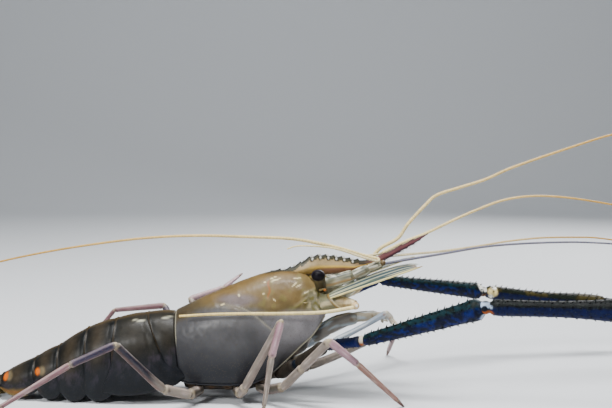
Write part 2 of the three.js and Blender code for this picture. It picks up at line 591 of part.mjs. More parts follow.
function addGreatClaws() {
  for (const [side, { root, wrist, knuckle, tip, girth }] of Object.entries(GREAT_CLAWS)) {
    const elbow = vec(root[3].slice(0, 3));
    const [wristAt, knuckleAt, tipAt] = [wrist, knuckle, tip].map(vec);
    const elbowCut = bisector(vec(root[2].slice(0, 3)), elbow, wristAt);
    const wristCut = bisector(elbow, wristAt, knuckleAt);
    const back = (normal) => normal.clone().negate();
    const scaled = (stops, by) => stops.map(([share, radius]) => [share, radius * by]);
    const arm = limb(root, outward(root));
    add(`claw_arm_${side}`, toGeometry(keepSide(arm, elbow, back(elbowCut))), CLAW);

    const forearm = toSolid(taper(elbow, wristAt, scaled(FOREARM_STOPS, girth.forearm)));
    const trimmed = keepSide(keepSide(forearm, elbow, elbowCut), wristAt, back(wristCut));
    add(`claw_forearm_${side}`, toGeometry(trimmed), CLAW);

    const way = knuckleAt.clone().sub(wristAt).normalize();
    const up = new THREE.Vector3(0, 0, 1).addScaledVector(way, -way.z).normalize();
    const palm = toSolid(taper(wristAt, knuckleAt, scaled(PALM_STOPS, girth.palm)));
    const finger = (offset) => {
      const start = knuckleAt.clone().addScaledVector(up, offset);
      const end = tipAt.clone().addScaledVector(up, offset * TIP_SPREAD);
      const reach = end.clone().sub(start);
      const centres = FINGER_STOPS.map(([share]) => {
        const bow = Math.sin(Math.PI * Math.max(0, share)) * offset * FINGER_BOW;
        return start.clone().addScaledVector(reach, share).addScaledVector(up, bow);
      });
      const ways = centres.map(() => reach.clone().normalize());
      return toSolid(loft(circles(centres, ways, FINGER_STOPS.map(([, radius]) => radius), LIMB_SIDES)));
    };
    const thumb = keepSide(finger(FINGER_SPREAD), knuckleAt.clone().addScaledVector(way, GAP), way);
    const claw = keepSide(palm.add(finger(-FINGER_SPREAD)), wristAt, wristCut);
    add(`claw_palm_${side}`, toGeometry(claw), CLAW);
    add(`claw_finger_${side}`, toGeometry(thumb), CLAW);
  }
}

function addLegs() {
  for (const [name, stops] of Object.entries(MAXILLIPEDS)) {
    add(name, toGeometry(limb(stops, new THREE.Vector3(1, 0, 0))), LEG);
  }
  for (const [name, stops] of Object.entries(PINCER_LEGS)) {
    add(name, toGeometry(limb(stops, outward(stops))), LEG);
  }
  for (const [name, stops] of Object.entries(WALKERS)) {
    add(name, toGeometry(standOnFloor(limb(stops, outward(stops)))), LEG);
  }
}

addCarapace();
addSternum();
addHead();
addTail();
addTailFan();
addPleopods();
addRostrum();
addEyes();
addAntennae();
addScales();
addGreatClaws();
addLegs();

const bounds = new THREE.Box3().setFromObject(prawn);
const centre = bounds.getCenter(new THREE.Vector3());
prawn.position.set(-centre.x, -centre.y, -bounds.min.z);

export default prawn;
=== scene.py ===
import math
import random

import bmesh
import bpy
from mathutils import Matrix, Vector, noise


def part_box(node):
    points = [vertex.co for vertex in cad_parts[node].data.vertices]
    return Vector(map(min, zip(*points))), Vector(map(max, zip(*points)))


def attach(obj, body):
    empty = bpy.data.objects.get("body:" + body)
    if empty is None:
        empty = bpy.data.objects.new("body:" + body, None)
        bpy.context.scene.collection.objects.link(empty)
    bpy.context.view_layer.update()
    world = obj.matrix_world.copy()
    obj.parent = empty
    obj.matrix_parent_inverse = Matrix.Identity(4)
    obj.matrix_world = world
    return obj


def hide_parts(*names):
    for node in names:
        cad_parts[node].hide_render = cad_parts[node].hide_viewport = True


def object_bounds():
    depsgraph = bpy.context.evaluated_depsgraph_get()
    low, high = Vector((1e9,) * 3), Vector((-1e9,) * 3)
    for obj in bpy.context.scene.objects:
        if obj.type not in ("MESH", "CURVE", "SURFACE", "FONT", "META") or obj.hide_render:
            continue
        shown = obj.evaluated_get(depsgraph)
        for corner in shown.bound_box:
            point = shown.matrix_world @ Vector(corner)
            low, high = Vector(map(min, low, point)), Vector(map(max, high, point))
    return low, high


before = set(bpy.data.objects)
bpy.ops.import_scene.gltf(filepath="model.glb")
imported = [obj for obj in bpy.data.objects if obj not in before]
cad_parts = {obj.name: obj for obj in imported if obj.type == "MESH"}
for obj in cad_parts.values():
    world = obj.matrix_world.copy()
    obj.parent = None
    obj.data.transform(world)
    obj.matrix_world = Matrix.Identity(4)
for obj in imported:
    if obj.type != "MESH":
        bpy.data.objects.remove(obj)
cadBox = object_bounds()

# A large male giant freshwater prawn. It is modelled in millimetres about its own midline: x = 0 is the back
# edge of the carapace, y = 0 the midplane and z = 0 the floor. The right eye tells where that lies in the frame.
rightEyeAt = Vector((67.1, -12.4, 60.2))
eyeLow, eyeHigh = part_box("eye_right")
toFrame = Matrix.Translation((eyeLow + eyeHigh) / 2) @ Matrix.Scale(0.001, 4) @ Matrix.Translation(-rightEyeAt)
sides = {"right": -1, "left": 1}


def linearColour(hexText):
    # sRGB hex to the linear numbers that Blender wants
    channels = [int(hexText[i:i + 2], 16) / 255 for i in (1, 3, 5)]
    return Vector([c / 12.92 if c <= 0.04045 else ((c + 0.055) / 1.055) ** 2.4 for c in channels])


def colours(**named):
    return {name: linearColour(value) for name, value in named.items()}


def rise(low, high, value):
    # 0 below low, 1 above high and a smooth slope between; low may be above high
    share = min(max((value - low) / (high - low), 0.0), 1.0)
    return share * share * (3 - 2 * share)


def near(centre, reach, value):
    # 1 at the centre, falling smoothly to 0 at the reach
    return 1.0 - rise(0.0, reach, abs(value - centre))


def patchAt(centre, reach, x, z):
    # 1 inside an oval of the side view, falling to 0 at its edge
    return 1.0 - rise(0.4, 1.0, math.hypot((x - centre[0]) / reach[0], (z - centre[1]) / reach[1]))


def noiseAt(x, y, z):
    return noise.noise(Vector((x, y, z)))


def circleAt(share):
    # sideways and up on a circle of radius 1, at a share of the way around
    turn = 2 * math.pi * share
    return math.cos(turn), math.sin(turn)


def layered(colour, palette, *coats):
    # the colour with the palette's colours laid over it in turn, each by its own share
    for name, share in coats:
        colour = colour.lerp(palette[name], share)
    return colour


def smoothRow(rows, place):
    # the row at a fractional index, on a smooth curve through all the rows
    last = len(rows) - 1
    place = min(max(place, 0.0), float(last))
    index = min(int(place), last - 1)
    share = place - index
    start, end = rows[index], rows[index + 1]
    before = rows[index - 1] if index else [2 * a - b for a, b in zip(start, end)]
    after = rows[index + 2] if index < last - 1 else [2 * b - a for a, b in zip(start, end)]
    row = []
    for a, b, c, d in zip(before, start, end, after):
        leave, arrive = (c - a) / 2, (d - b) / 2
        row.append(b + share * (leave + share * (3 * (c - b) - 2 * leave - arrive
                                                  + share * (2 * (b - c) + leave + arrive))))
    return row


def rowAt(rows, x):
    # the smooth row at a value of the rows' first number, which grows
    index = 0
    while index < len(rows) - 2 and rows[index + 1][0] < x:
        index += 1
    return smoothRow(rows, index + (x - rows[index][0]) / (rows[index + 1][0] - rows[index][0]))


def distancesAlong(rows):
    # how far each row's point is from the first, along the way
    reached = [0.0]
    for a, b in zip(rows, rows[1:]):
        reached.append(reached[-1] + math.dist(a[:3], b[:3]))
    return reached


def stationsAlong(stops, spacing):
    # the stops' numbers at even steps along the smooth curve through them
    fine = [smoothRow(stops, i / 16) for i in range(16 * (len(stops) - 1) + 1)]
    reached = distancesAlong(fine)
    count = max(3, round(reached[-1] / spacing))
    stations, index = [], 0
    for step in range(count + 1):
        aim = reached[-1] * step / count
        while index < len(fine) - 2 and reached[index + 1] < aim:
            index += 1
        share = (aim - reached[index]) / max(reached[index + 1] - reached[index], 1e-9)
        stations.append([a + (b - a) * share for a, b in zip(fine[index], fine[index + 1])])
    return stations


def carriedFrames(points):
    # a side and an up direction at each point, carried along without twist
    frames, side = [], None
    for i, point in enumerate(points):
        way = (points[min(i + 1, len(points) - 1)] - points[max(i - 1, 0)]).normalized()
        if side is None:
            side = Vector((0, 1, 0)) if abs(way.z) > 0.9 else Vector((0, 0, 1)).cross(way)
        side = (side - way * side.dot(way)).normalized()
        frames.append((point, side, way.cross(side), way))
    return frames


def newShape():
    shape = bmesh.new()
    shape.verts.layers.float_color.new("paint")
    shape.verts.layers.float.new("around")
    return shape


def addSkin(shape, rings, corners, ringAt):
    # a round of corners extruded from ring to ring and closed at both ends; ringAt(ring) gives a function
    # from the share of the way around to the corner's point and paint
    paint = shape.verts.layers.float_color["paint"]
    around = shape.verts.layers.float["around"]
    ring = bmesh.ops.create_circle(shape, cap_ends=False, radius=1.0, segments=corners)["verts"]
    for corner in ring:
        corner[around] = (math.atan2(corner.co.y, corner.co.x) / (2 * math.pi)) % 1.0
    edges = list({edge for corner in ring for edge in corner.link_edges})
    ends = [edges]
    for i, where in enumerate(rings):
        if i:
            grown = bmesh.ops.extrude_edge_only(shape, edges=edges)["geom"]
            ring = [part for part in grown if isinstance(part, bmesh.types.BMVert)]
            fresh = set(ring)
            edges = [part for part in grown
                     if isinstance(part, bmesh.types.BMEdge) and fresh.issuperset(part.verts)]
        place = ringAt(where)
        for corner in ring:
            corner.co, colour = place(corner[around])
            corner[paint] = (*colour, 1.0)
    ends.append(edges)
    for loop in ends:
        bmesh.ops.contextual_create(shape, geom=loop)


def addTube(shape, stations, corners, paintAt, flat=1.0):
    # a tube with a radius at each station; flat is the sideways share of the radius
    frames = carriedFrames([Vector(station[:3]) for station in stations])
    last = len(stations) - 1

    def ringAt(i):
        centre, across, up, way = frames[i]
        radius = stations[i][3]

        def corner(share):
            wide, high = circleAt(share)
            return centre + across * (wide * radius * flat) + up * (high * radius), paintAt(i / last, share)
        return corner
    addSkin(shape, range(len(stations)), corners, ringAt)
    return frames


def paintNew(shape, verts, colour):
    paint = shape.verts.layers.float_color["paint"]
    for vert in verts:
        vert[paint] = (*colour, 1.0)


def addSpike(shape, foot, tip, width, colour, corners=6, bluntness=0.08):
    # a slim cone from foot to tip, for a spine, a tooth or a hair
    reach = tip - foot
    place = Matrix.Translation((foot + tip) / 2) @ reach.to_track_quat("Z", "Y").to_matrix().to_4x4()
    cone = bmesh.ops.create_cone(shape, cap_ends=True, cap_tris=False, segments=corners, radius1=width,
                                 radius2=width * bluntness, depth=reach.length, matrix=place)
    paintNew(shape, cone["verts"], colour)


def addBall(shape, centre, radii, colour, turn=None, segments=14, rows=9):
    # a knob or an eyeball: a stretched sphere
    place = Matrix.Translation(centre) @ (turn or Matrix.Identity(4)) @ Matrix.Diagonal((*radii, 1))
    ball = bmesh.ops.create_uvsphere(shape, u_segments=segments, v_segments=rows, radius=1.0, matrix=place)
    paintNew(shape, ball["verts"], colour)
    return ball["verts"]


def finishPiece(name, shape, material, node):
    # into the frame's place and size, faces outward, riding on the one body in its CAD node's stead
    bmesh.ops.transform(shape, matrix=toFrame, verts=shape.verts)
    for vert in shape.verts:
        # toes and fan rest flat on the floor, and no bristle passes the solids' own box
        vert.co = [min(max(value, low), high) for value, low, high in zip(vert.co, *cadBox)]
    bmesh.ops.recalc_face_normals(shape, faces=shape.faces)
    mesh = bpy.data.meshes.new(name)
    shape.to_mesh(mesh)
    shape.free()
    mesh.shade_smooth()
    mesh.set_sharp_from_angle(angle=math.radians(55))
    mesh.materials.append(material)
    piece = bpy.data.objects.new(name, mesh)
    bpy.context.scene.collection.objects.link(piece)
    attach(piece, "root")
    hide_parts(node)


# Materials

def addNode(tree, kind, inputs, **settings):
    # one node; inputs holds plain values, or a (node, output) pair to link
    node = tree.nodes.new("ShaderNode" + kind)
    for name, value in settings.items():
        setattr(node, name, value)
    for name, value in inputs.items():
        if isinstance(value, tuple) and isinstance(value[0], bpy.types.Node):
            tree.links.new(value[0].outputs[value[1]], node.inputs[name])
        else:
            node.inputs[name].default_value = value
    return node


def cuticle(name, finish):
    # painted base colour, broken up by a mottle and fine specks, over a fine grain
    material = bpy.data.materials.new(name)
    material.use_nodes = True
    tree = material.node_tree
    tree.nodes.clear()
    place = addNode(tree, "TexCoord", {})
    paint = addNode(tree, "Attribute", {}, attribute_name="paint")
    mottle = addNode(tree, "TexNoise", {"Vector": (place, "Object"), "Scale": 1000 / finish["mottleMm"],
                                        "Detail": 4.0, "Roughness": 0.6})
    mottleTone = addNode(tree, "MapRange", {"Value": (mottle, "Fac"), "From Min": 0.3, "From Max": 0.7,
                                            "To Min": 1 - finish["mottle"], "To Max": 1 + finish["mottle"]})
    toned = addNode(tree, "VectorMath", {0: (paint, "Color"), "Scale": (mottleTone, "Result")}, operation="SCALE")
    specks = addNode(tree, "TexVoronoi", {"Vector": (place, "Object"), "Scale": 1000 / finish["speckMm"],
                                          "Randomness": 1.0}, feature="F1")
    speckMask = addNode(tree, "MapRange", {"Value": (specks, "Distance"), "From Min": 0.12, "From Max": 0.34,
                                           "To Min": finish["specks"], "To Max": 0.0},
                        interpolation_type="SMOOTHSTEP")
    base = addNode(tree, "Mix", {"Factor": (speckMask, "Result"), "A": (toned, "Vector"),
                                 "B": (*linearColour(finish["speck"]), 1.0)}, data_type="RGBA")
    grain = addNode(tree, "TexNoise", {"Vector": (place, "Object"), "Scale": 1000 / finish["grainMm"],
                                       "Detail": 3.0, "Roughness": 0.55})
    gloss = addNode(tree, "MapRange", {"Value": (mottle, "Fac"), "From Min": 0.3, "From Max": 0.7,
                                       "To Min": finish["roughness"] - 0.07, "To Max": finish["roughness"] + 0.09})
    relief = addNode(tree, "Bump", {"Strength": finish["relief"], "Distance": finish["reliefMm"] / 1000,
                                    "Height": (grain, "Fac")})
    shader = addNode(tree, "BsdfPrincipled", {
        "Base Color": (base, "Result"), "Roughness": (gloss, "Result"), "Normal": (relief, "Normal"),
        "IOR": 1.5, "Specular IOR Level": finish["shine"], "Alpha": finish.get("alpha", 1.0),
        "Subsurface Weight": finish["glow"], "Subsurface Scale": finish.get("glowMm", 3.0) / 1000,
        "Subsurface Radius": (1.0, 0.7, 0.45), "Coat Weight": finish["coat"],
        "Coat Roughness": finish.get("coatRoughness", 0.12), "Coat IOR": 1.4})
    addNode(tree, "OutputMaterial", {"Surface": (shader, "BSDF")})
    return material


print("materials")
# wet chitin over flesh: a waxy depth under a clear, tight gloss
shellChitin = cuticle("wetChitinShell", {
    "mottleMm": 6.0, "mottle": 0.16, "speckMm": 0.9, "speck": "#4a4128", "specks": 0.35, "grainMm": 0.55,
    "relief": 0.2, "reliefMm": 0.08, "roughness": 0.42, "shine": 0.3, "glow": 0.2, "coat": 0.03,
    "coatRoughness": 0.15})
# the same chitin, thicker and darker on the tail
tailChitin = cuticle("darkTailChitin", {
    "mottleMm": 3.4, "mottle": 0.26, "speckMm": 0.8, "speck": "#4a4230", "specks": 0.16, "grainMm": 0.5,
    "relief": 0.2, "reliefMm": 0.1, "roughness": 0.42, "shine": 0.2, "glow": 0.05, "coat": 0.02,
    "coatRoughness": 0.15})
# calcified chitin of the big claws, rough with fine tubercles
clawChitin = cuticle("tuberculateClawChitin", {
    "mottleMm": 2.6, "mottle": 0.4, "speckMm": 1.1, "speck": "#2c3a30", "specks": 0.3, "grainMm": 0.45,
    "relief": 0.6, "reliefMm": 0.25, "roughness": 0.5, "shine": 0.12, "glow": 0.0, "coat": 0.0})
# thin chitin of the legs, waxy like a fingernail
legChitin = cuticle("waxyLegChitin", {
    "mottleMm": 3.0, "mottle": 0.12, "speckMm": 0.8, "speck": "#6e5450", "specks": 0.35, "grainMm": 0.4,
    "relief": 0.2, "reliefMm": 0.1, "roughness": 0.36, "shine": 0.3, "glow": 0.15, "glowMm": 1.5, "coat": 0.08})
# horn-like solid chitin of the rostrum
hornChitin = cuticle("solidHornChitin", {
    "mottleMm": 4.0, "mottle": 0.16, "speckMm": 0.7, "speck": "#4d2e20", "specks": 0.25, "grainMm": 0.4,
    "relief": 0.25, "reliefMm": 0.1, "roughness": 0.4, "shine": 0.25, "glow": 0.12, "glowMm": 1.5, "coat": 0.08})
# fin-like plates, thin enough to let light through
finChitin = cuticle("clearFinChitin", {
    "mottleMm": 3.5, "mottle": 0.12, "speckMm": 0.8, "speck": "#8c8a70", "specks": 0.2, "grainMm": 0.5,
    "relief": 0.15, "reliefMm": 0.08, "roughness": 0.34, "shine": 0.35, "glow": 0.15, "glowMm": 1.0, "coat": 0.15,
    "alpha": 0.92})
# ringed whip of tough, dry-looking chitin
whipChitin = cuticle("ringedWhipChitin", {
    "mottleMm": 5.0, "mottle": 0.14, "speckMm": 0.6, "speck": "#8a6a34", "specks": 0.2, "grainMm": 0.3,
    "relief": 0.2, "reliefMm": 0.06, "roughness": 0.44, "shine": 0.3, "glow": 0.15, "glowMm": 1.0, "coat": 0.08})
# cornea over dark facets, satin where the facets meet
eyeCornea = cuticle("darkCornea", {
    "mottleMm": 1.6, "mottle": 0.5, "speckMm": 0.5, "speck": "#2c2030", "specks": 0.4, "grainMm": 0.3,
    "relief": 0.12, "reliefMm": 0.05, "roughness": 0.42, "shine": 0.12, "glow": 0.0, "coat": 0.0})


# outlines of carapace and tail: shares of the half width and of the height, from just beyond the ridge down the
# flank to the middle of the underside
flank = [[-0.38, 0.95], [0.0, 1.0], [0.38, 0.95], [0.66, 0.84], [0.87, 0.69], [0.98, 0.5], [1.0, 0.3]]


def sideAndReach(share):
    # the side that a corner is on, and how far it is from the ridge: 0 there and 1 under the belly
    turned = (share + 0.75) % 1.0
    return 1 if turned > 0.5 else -1, 2 * min(turned, 1 - turned)


# Carapace
# stations: x and z of the ridge, x and z of the lower margin, half the width
carapace = {
    "stations": [
        [-1.0, 42.0, 2.2, 10.6, 14.8], [6.0, 45.3, 7.0, 9.5, 16.6], [16.0, 50.0, 16.0, 9.3, 18.0],
        [27.0, 54.6, 27.0, 9.3, 18.6], [36.0, 57.7, 36.0, 9.9, 18.0], [44.0, 59.8, 44.0, 13.4, 16.8],
        [52.0, 60.5, 52.0, 20.0, 15.2], [59.0, 59.8, 59.0, 26.6, 13.4], [64.0, 57.2, 64.0, 31.0, 12.0],
        [67.4, 54.8, 67.6, 35.8, 11.0], [70.2, 52.8, 70.4, 40.6, 10.2]],
    "outline": flank + [[0.95, 0.12], [0.875, 0.014], [0.82, -0.012], [0.74, 0.0], [0.62, 0.05], [0.5, 0.1],
                        [0.0, 0.11]],
    "rings": 240,
    "corners": 248,
}
shellPaint = colours(rim="#5c4620", olive="#6c5730", oliveLow="#51482e", mauve="#645a5e", gill="#504f50",
                     gillLow="#0e1018", line="#96907c", amber="#8a4800", glint="#ffecb4", green="#74703a",
                     rear="#3a3020", front="#7a6b46", dark="#3c3820", plate="#8f8c76", pink="#888486", teal="#122826",
                     crest="#141a12")
gillLine = [[-2, 37.0], [7, 41.5], [18, 45.6], [31, 45.4], [40, 43.8], [72, 43.2]]
grooveLine = [[18, 46.4], [25.6, 46.3], [33.2, 44.6], [39, 41], [44.3, 36.4], [49, 33]]
antennalRidge = [[58.5, 50.0], [61, 51.2], [65, 52.6], [70, 54.2]]
hepaticRidge = [[54.0, 44.6], [57.3, 45.9], [61.4, 48.7], [64, 50.6]]

# painted highlights: short bright glints of the lamp on the cheek, with their middle, reach and slope
glints = [((46.8, 57.3), (3.4, 0.36), 0.3), ((46.0, 58.3), (2.0, 0.26), 0.3), ((56.0, 55.5), (1.7, 0.42), 0.75),
          ((58.0, 54.9), (1.8, 0.34), 0.42), ((57.2, 58.0), (2.6, 0.3), 0.06), ((61.6, 52.0), (1.6, 0.34), 0.45),
          ((42.2, 51.4), (1.6, 0.28), 0.0), ((42.0, 56.4), (0.8, 0.34), 0.2), ((30.0, 50.6), (0.7, 0.5), 0.0),
          ((22.6, 46.6), (2.0, 0.3), 0.6), ((46.6, 49.0), (1.2, 0.26), -0.7)]


def alongLine(line, width, x, z):
    # how near a point of the side view is to a line that runs forward
    if x < line[0][0] or x > line[-1][0]:
        return 0.0
    fade = rise(line[0][0], line[0][0] + 3, x) * rise(line[-1][0], line[-1][0] - 3, x)
    return fade * near(rowAt(line, x)[1], width, z)


def paintShell(x, y, z, height, rearward):
    p = shellPaint
    drift = noiseAt(x * 0.12, y * 0.2, z * 0.16)
    back = layered(p["oliveLow"], p,
                   ("olive", rise(40, 54, z + 3 * drift)),
                   ("front", 0.6 * rise(52, 70, x) * rise(40, 48, z)),
                   ("rear", 0.85 * rise(18, 3, x)),
                   ("mauve", 0.75 * patchAt((29, 48.6), (13, 3.6), x, z + drift)))
    gill = layered(p["gill"], p,
                   # painted shade: darker towards the bottom, and in the fold at the rear
                   ("gillLow", rise(42, 14, z + 2 * drift - 0.12 * (x - 30))),
                   ("gillLow", 0.45 * rise(26, 4, x)),
                   ("pink", 0.85 * rise(34, 62, x + 0.3 * (z - 34)) * rise(12, 34, z)))
    colour = back.lerp(gill, rise(1.8, -2.2, z - rowAt(gillLine, x)[1] + 1.6 * drift))
    moss = noiseAt(x * 0.3, y * 0.1, z * 0.35 + 7)
    streak = near(44.0 + 0.5 * math.sin(z * 1.1), 0.75, x) * rise(49.0, 50.5, z) * rise(57.6, 56.5, z)
    colour = layered(colour, p,
                     ("green", 0.35 * rise(0.1, 0.5, moss) * rise(40, 46, z) * rise(30, 44, x)),
                     # painted highlight: the pale line along the edge of the groove
                     ("line", (0.35 + 0.3 * rise(28, 32, x)) * alongLine(grooveLine, 0.7, x, z)),
                     ("green", 0.6 * alongLine(antennalRidge, 1.2, x, z)),
                     ("green", 0.5 * alongLine(hepaticRidge, 1.2, x, z)),
                     ("amber", 0.8 * streak),
                     # painted highlights: the lamp's glints on the wet shell
                     *[("glint", 0.75 * patchAt(centre, reach, x, z - slope * (x - centre[0])))
                       for centre, reach, slope in glints],
                     ("rim", 0.6 * rise(0.965, 0.99, height) * rise(8, 14, x) * rise(63, 57, x)),
                     ("crest", 0.85 * rise(0.988, 0.996, height) * rise(40, 45, x)),
                     # the thin gold edge over the tail's first plate
                     ("line", 0.8 * rise(0.14, 0.05, rearward) * rise(26, 32, z)))
    # the pale cheek ahead of a dark curved seam, which runs down to the base of the antenna; the pale flecks in its
    # cloud are painted highlights
    seam = 67.0 + 0.045 * (z - 49.0) ** 2
    cheek = rise(58, 66, x) * rise(54.0, 51.0, z) * rise(42.5, 44.5, z)
    cloud = noiseAt(x * 0.5, z * 0.5, 11)
    plate = layered(p["plate"], p, ("green", rise(0.0, 0.3, cloud)), ("glint", 0.5 * rise(-0.2, -0.35, cloud)))
    return layered(colour.lerp(plate, 0.75 * cheek), p,
                   ("teal", 0.8 * patchAt((69.0, 52.3), (1.2, 1.0), x, z)),
                   ("dark", 0.8 * near(seam, 0.5, x) * rise(52.6, 51.6, z) * rise(46.8, 47.8, z)))


def shellOffset(x, z, height):
    # grooves and ridges of the carapace, in millimetres outwards
    out = -0.35 * alongLine(grooveLine, 1.6, x, z) + 0.5 * alongLine(antennalRidge, 1.4, x, z)
    out += 0.45 * alongLine(hepaticRidge, 1.5, x, z) - 0.3 * near(43.6, 2.0, x) * rise(48, 51, z) * rise(59, 56, z)
    out += 0.6 * rise(0.93, 1.0, height) * rise(24, 46, x)
    return out + 0.1 * noiseAt(x * 0.5, z * 0.5, 3.0)


def addCarapace(shape):
    look = carapace
    last = len(look["stations"]) - 1
    edgeSteps = [(0.0, 1.6), (0.0, 0.7), (0.005, 0.2), (0.02, 0.0)]
    rings = [(share * last, inset) for share, inset in edgeSteps]
    rings += [(last * i / look["rings"], 0.0) for i in range(3, look["rings"] - 2)]
    rings += [(last * (1 - share), inset) for share, inset in reversed(edgeSteps)]

    def ringAt(where):
        topX, topZ, lowX, lowZ, half = smoothRow(look["stations"], where[0])
        middle = Vector(((topX + lowX) / 2, 0, (topZ + lowZ) / 2))

        def corner(share):
            side, reach = sideAndReach(share)
            wide, height = smoothRow(look["outline"], 1 + reach * (len(look["outline"]) - 2))
            # the front edge is scooped out round the eye and the base of the antenna
            scoop = 1.8 * rise(66, 71, topX) * near(0.35, 0.5, height)
            point = Vector((lowX + (topX - lowX) * height - scoop, side * wide * half,
                            lowZ + (topZ - lowZ) * height))
            outward = (point - middle).normalized()
            lift = shellOffset(point.x, point.z, height) if reach < 0.6 else 0.0
            point += outward * (lift - where[1])
            return point, paintShell(point.x, point.y, point.z, height, where[0])
        return corner
    addSkin(shape, rings, look["corners"], ringAt)


def marginPath(side):
    # the lower edge of the carapace, from back to front
    path = []
    for step in range(41):
        lowX, lowZ, half = smoothRow(carapace["stations"], step / 4)[2:]
        path.append([lowX, side * (half * 0.875 + 0.2), lowZ + 0.2, 0.32])
    return path


print("carapace")
shape = newShape()
addCarapace(shape)
for side in sides.values():
    addTube(shape, marginPath(side), 8,
            lambda s, a: shellPaint["gillLow"].lerp(shellPaint["line"], 0.7 * rise(0.5, 0.65, s)))
    # the antennal and the hepatic spine
    for (x, y, z), (tipX, tipY, tipZ), width in (((67.6, 10.3, 53.0), (71.4, 10.6, 54.2), 0.6),
                                                 ((60.4, 12.5, 47.2), (63.0, 12.9, 48.0), 0.5)):
        addSpike(shape, Vector((x, side * y, z)), Vector((tipX, side * tipY, tipZ)), width, shellPaint["front"], 8)
finishPiece("carapaceShell", shape, shellChitin, "carapace")

# Sternum: the keel between the legs, with a boss at each leg's root
sternum = {"drop": 5.6, "share": 0.5, "rings": 70, "corners": 40}
sternumPaint = colours(keel="#1e1a14", boss="#4a3826")
shape = newShape()


def sternumRing(i):
    lowX, lowZ, half = smoothRow(carapace["stations"], 8.0 * i / sternum["rings"])[2:]
    pinch = min(1.0, 0.45 + i / 5, 0.45 + (sternum["rings"] - i) / 8)
    boss = math.cos(lowX * 0.78)

    def corner(share):
        wide, high = circleAt(share)
        point = Vector((lowX, wide * half * sternum["share"] * pinch * (1 + 0.08 * boss),
                        lowZ - 0.6 + high * sternum["drop"] * 0.9 * pinch))
        return point, sternumPaint["keel"].lerp(sternumPaint["boss"], 0.5 + 0.5 * boss)
    return corner


addSkin(shape, range(sternum["rings"] + 1), sternum["corners"], sternumRing)
finishPiece("sternumKeel", shape, shellChitin, "sternum")


# Head between the eyes: a block that carries the eyestalks and both pairs of antennae
# stations: x, the lowest and highest z, half the width
headBlock = {
    "stations": [[62.4, 57.4, 58.8, 2.6], [65.0, 56.2, 58.9, 4.6], [68.4, 52.6, 58.8, 5.8], [71.4, 43.4, 58.5, 6.2],
                 [74.0, 42.4, 57.2, 5.8], [76.6, 44.6, 55.4, 5.0], [79.6, 45.6, 53.4, 4.4], [85.0, 49.4, 53.6, 2.6]],
    "rings": 40,
}
headPaint = colours(top="#6e6032", low="#6c6c58", front="#948f76", streak="#d8d4b8")
shape = newShape()


def headRing(i):
    x, low, high, half = smoothRow(headBlock["stations"], (len(headBlock["stations"]) - 1) * i / headBlock["rings"])
    pinch = min(1.0, 0.5 + i / 6, 0.4 + (headBlock["rings"] - i) / 8)

    def corner(share):
        y, up = circleAt(share)
        box = 1 / max(abs(y), abs(up)) ** 0.35
        point = Vector((x, y * half * pinch * box, (low + high) / 2 + up * (high - low) / 2 * pinch))
        streak = noiseAt(x * 0.06, point.y * 0.4, point.z * 1.3 - 0.28 * x)
        return point, layered(headPaint["low"], headPaint, ("top", rise(50, 57, point.z)),
                              ("front", rise(71, 76, x) * 0.8),
                              ("streak", 0.7 * rise(0.1, 0.3, streak) * rise(70, 74, x)))
    return corner


addSkin(shape, range(headBlock["rings"] + 1), 32, headRing)
finishPiece("headBlock", shape, shellChitin, "head")


# Eyes: a dark cornea, cupped by the end of its stalk
eye = {"radii": (3.3, 3.1, 2.8), "stalk": [[68.5, 6.0, 53.2, 2.5], [68.2, 7.8, 54.9, 2.6], [67.8, 9.8, 57.0, 2.8],
                                           [67.3, 11.2, 58.9, 3.0], [67.1, 11.9, 59.7, 2.85]]}
eyePaint = colours(cornea="#08040a", rim="#3e3644", stalk="#3c3218", cup="#4a3f22", spot="#a25c16")
for word, side in sides.items():
    shape = newShape()
    centre = Vector((rightEyeAt.x, -side * rightEyeAt.y, rightEyeAt.z))
    for vert in addBall(shape, centre, eye["radii"], eyePaint["cornea"], None, 48, 32):
        # a thin grey-violet ring where the cornea meets the stalk
        ring = near(0.36, 0.12, side * (vert.co.y - centre.y) / eye["radii"][1])
        paintNew(shape, [vert], eyePaint["cornea"].lerp(eyePaint["rim"], 0.8 * ring))
    finishPiece("eyeCornea_" + word, shape, eyeCornea, "eye_" + word)
    shape = newShape()
    stops = [[x, side * y, z, r] for x, y, z, r in eye["stalk"]]
    addTube(shape, stationsAlong(stops, 0.3), 28,
            lambda s, a: eyePaint["stalk"].lerp(eyePaint["cup"], rise(0.7, 0.95, s)))
    # the orange grain at the corner of the orbit
    addBall(shape, Vector((70.3, side * 10.9, 53.2)), (0.75, 0.6, 0.6), eyePaint["spot"])
    finishPiece("eyeStalk_" + word, shape, shellChitin, "eyestalk_" + word)
print("head and eyes")


# Tail: six overlapping plates
# planes between the plates: x and z of the ridge, x and z of the side flaps' lower edge, half the width
tail = {
    "planes": [
        [-1.0, 41.6, 2.2, 10.6, 14.6], [-14.0, 41.0, 0.6, 9.2, 15.6], [-29.0, 38.2, -29.5, 3.4, 15.6],
        [-43.0, 33.6, -41.6, 2.2, 14.4], [-56.5, 25.4, -54.0, 2.4, 12.9], [-68.1, 19.4, -65.4, 3.2, 11.0],
        [-84.1, 11.4, -84.0, 3.6, 7.8]],
    "outline": flank + [[0.985, 0.12], [0.96, 0.02], [0.9, -0.01], [0.84, 0.06], [0.78, 0.2], [0.7, 0.3],
                        [0.0, 0.36]],
    "rings": 44,
    "corners": 128,
    "flare": 0.35,
    # the orange spot and the cream patch behind it on the last two plates, and the painted highlights (short glints of
    # the lamp) on the first two
    "spots": {5: ((-65.1, 14.4), (-63.0, 14.8)), 6: ((-81.3, 11.0), (-79.4, 11.4))},
    "glints": ((-17.6, 38.2), (-4.6, 39.6)),
}
tailPaint = colours(dark="#06090a", tan="#282218", pale="#352d22", olive="#1a1914", slate="#101116",
                    slateLow="#0b0c11", orange="#c05c00", cream="#9c8a66", edge="#6e5424", blue="#0c161c",
                    violet="#3c3340", gold="#7a6434", rust="#6e3c14", glint="#d8d4b8")


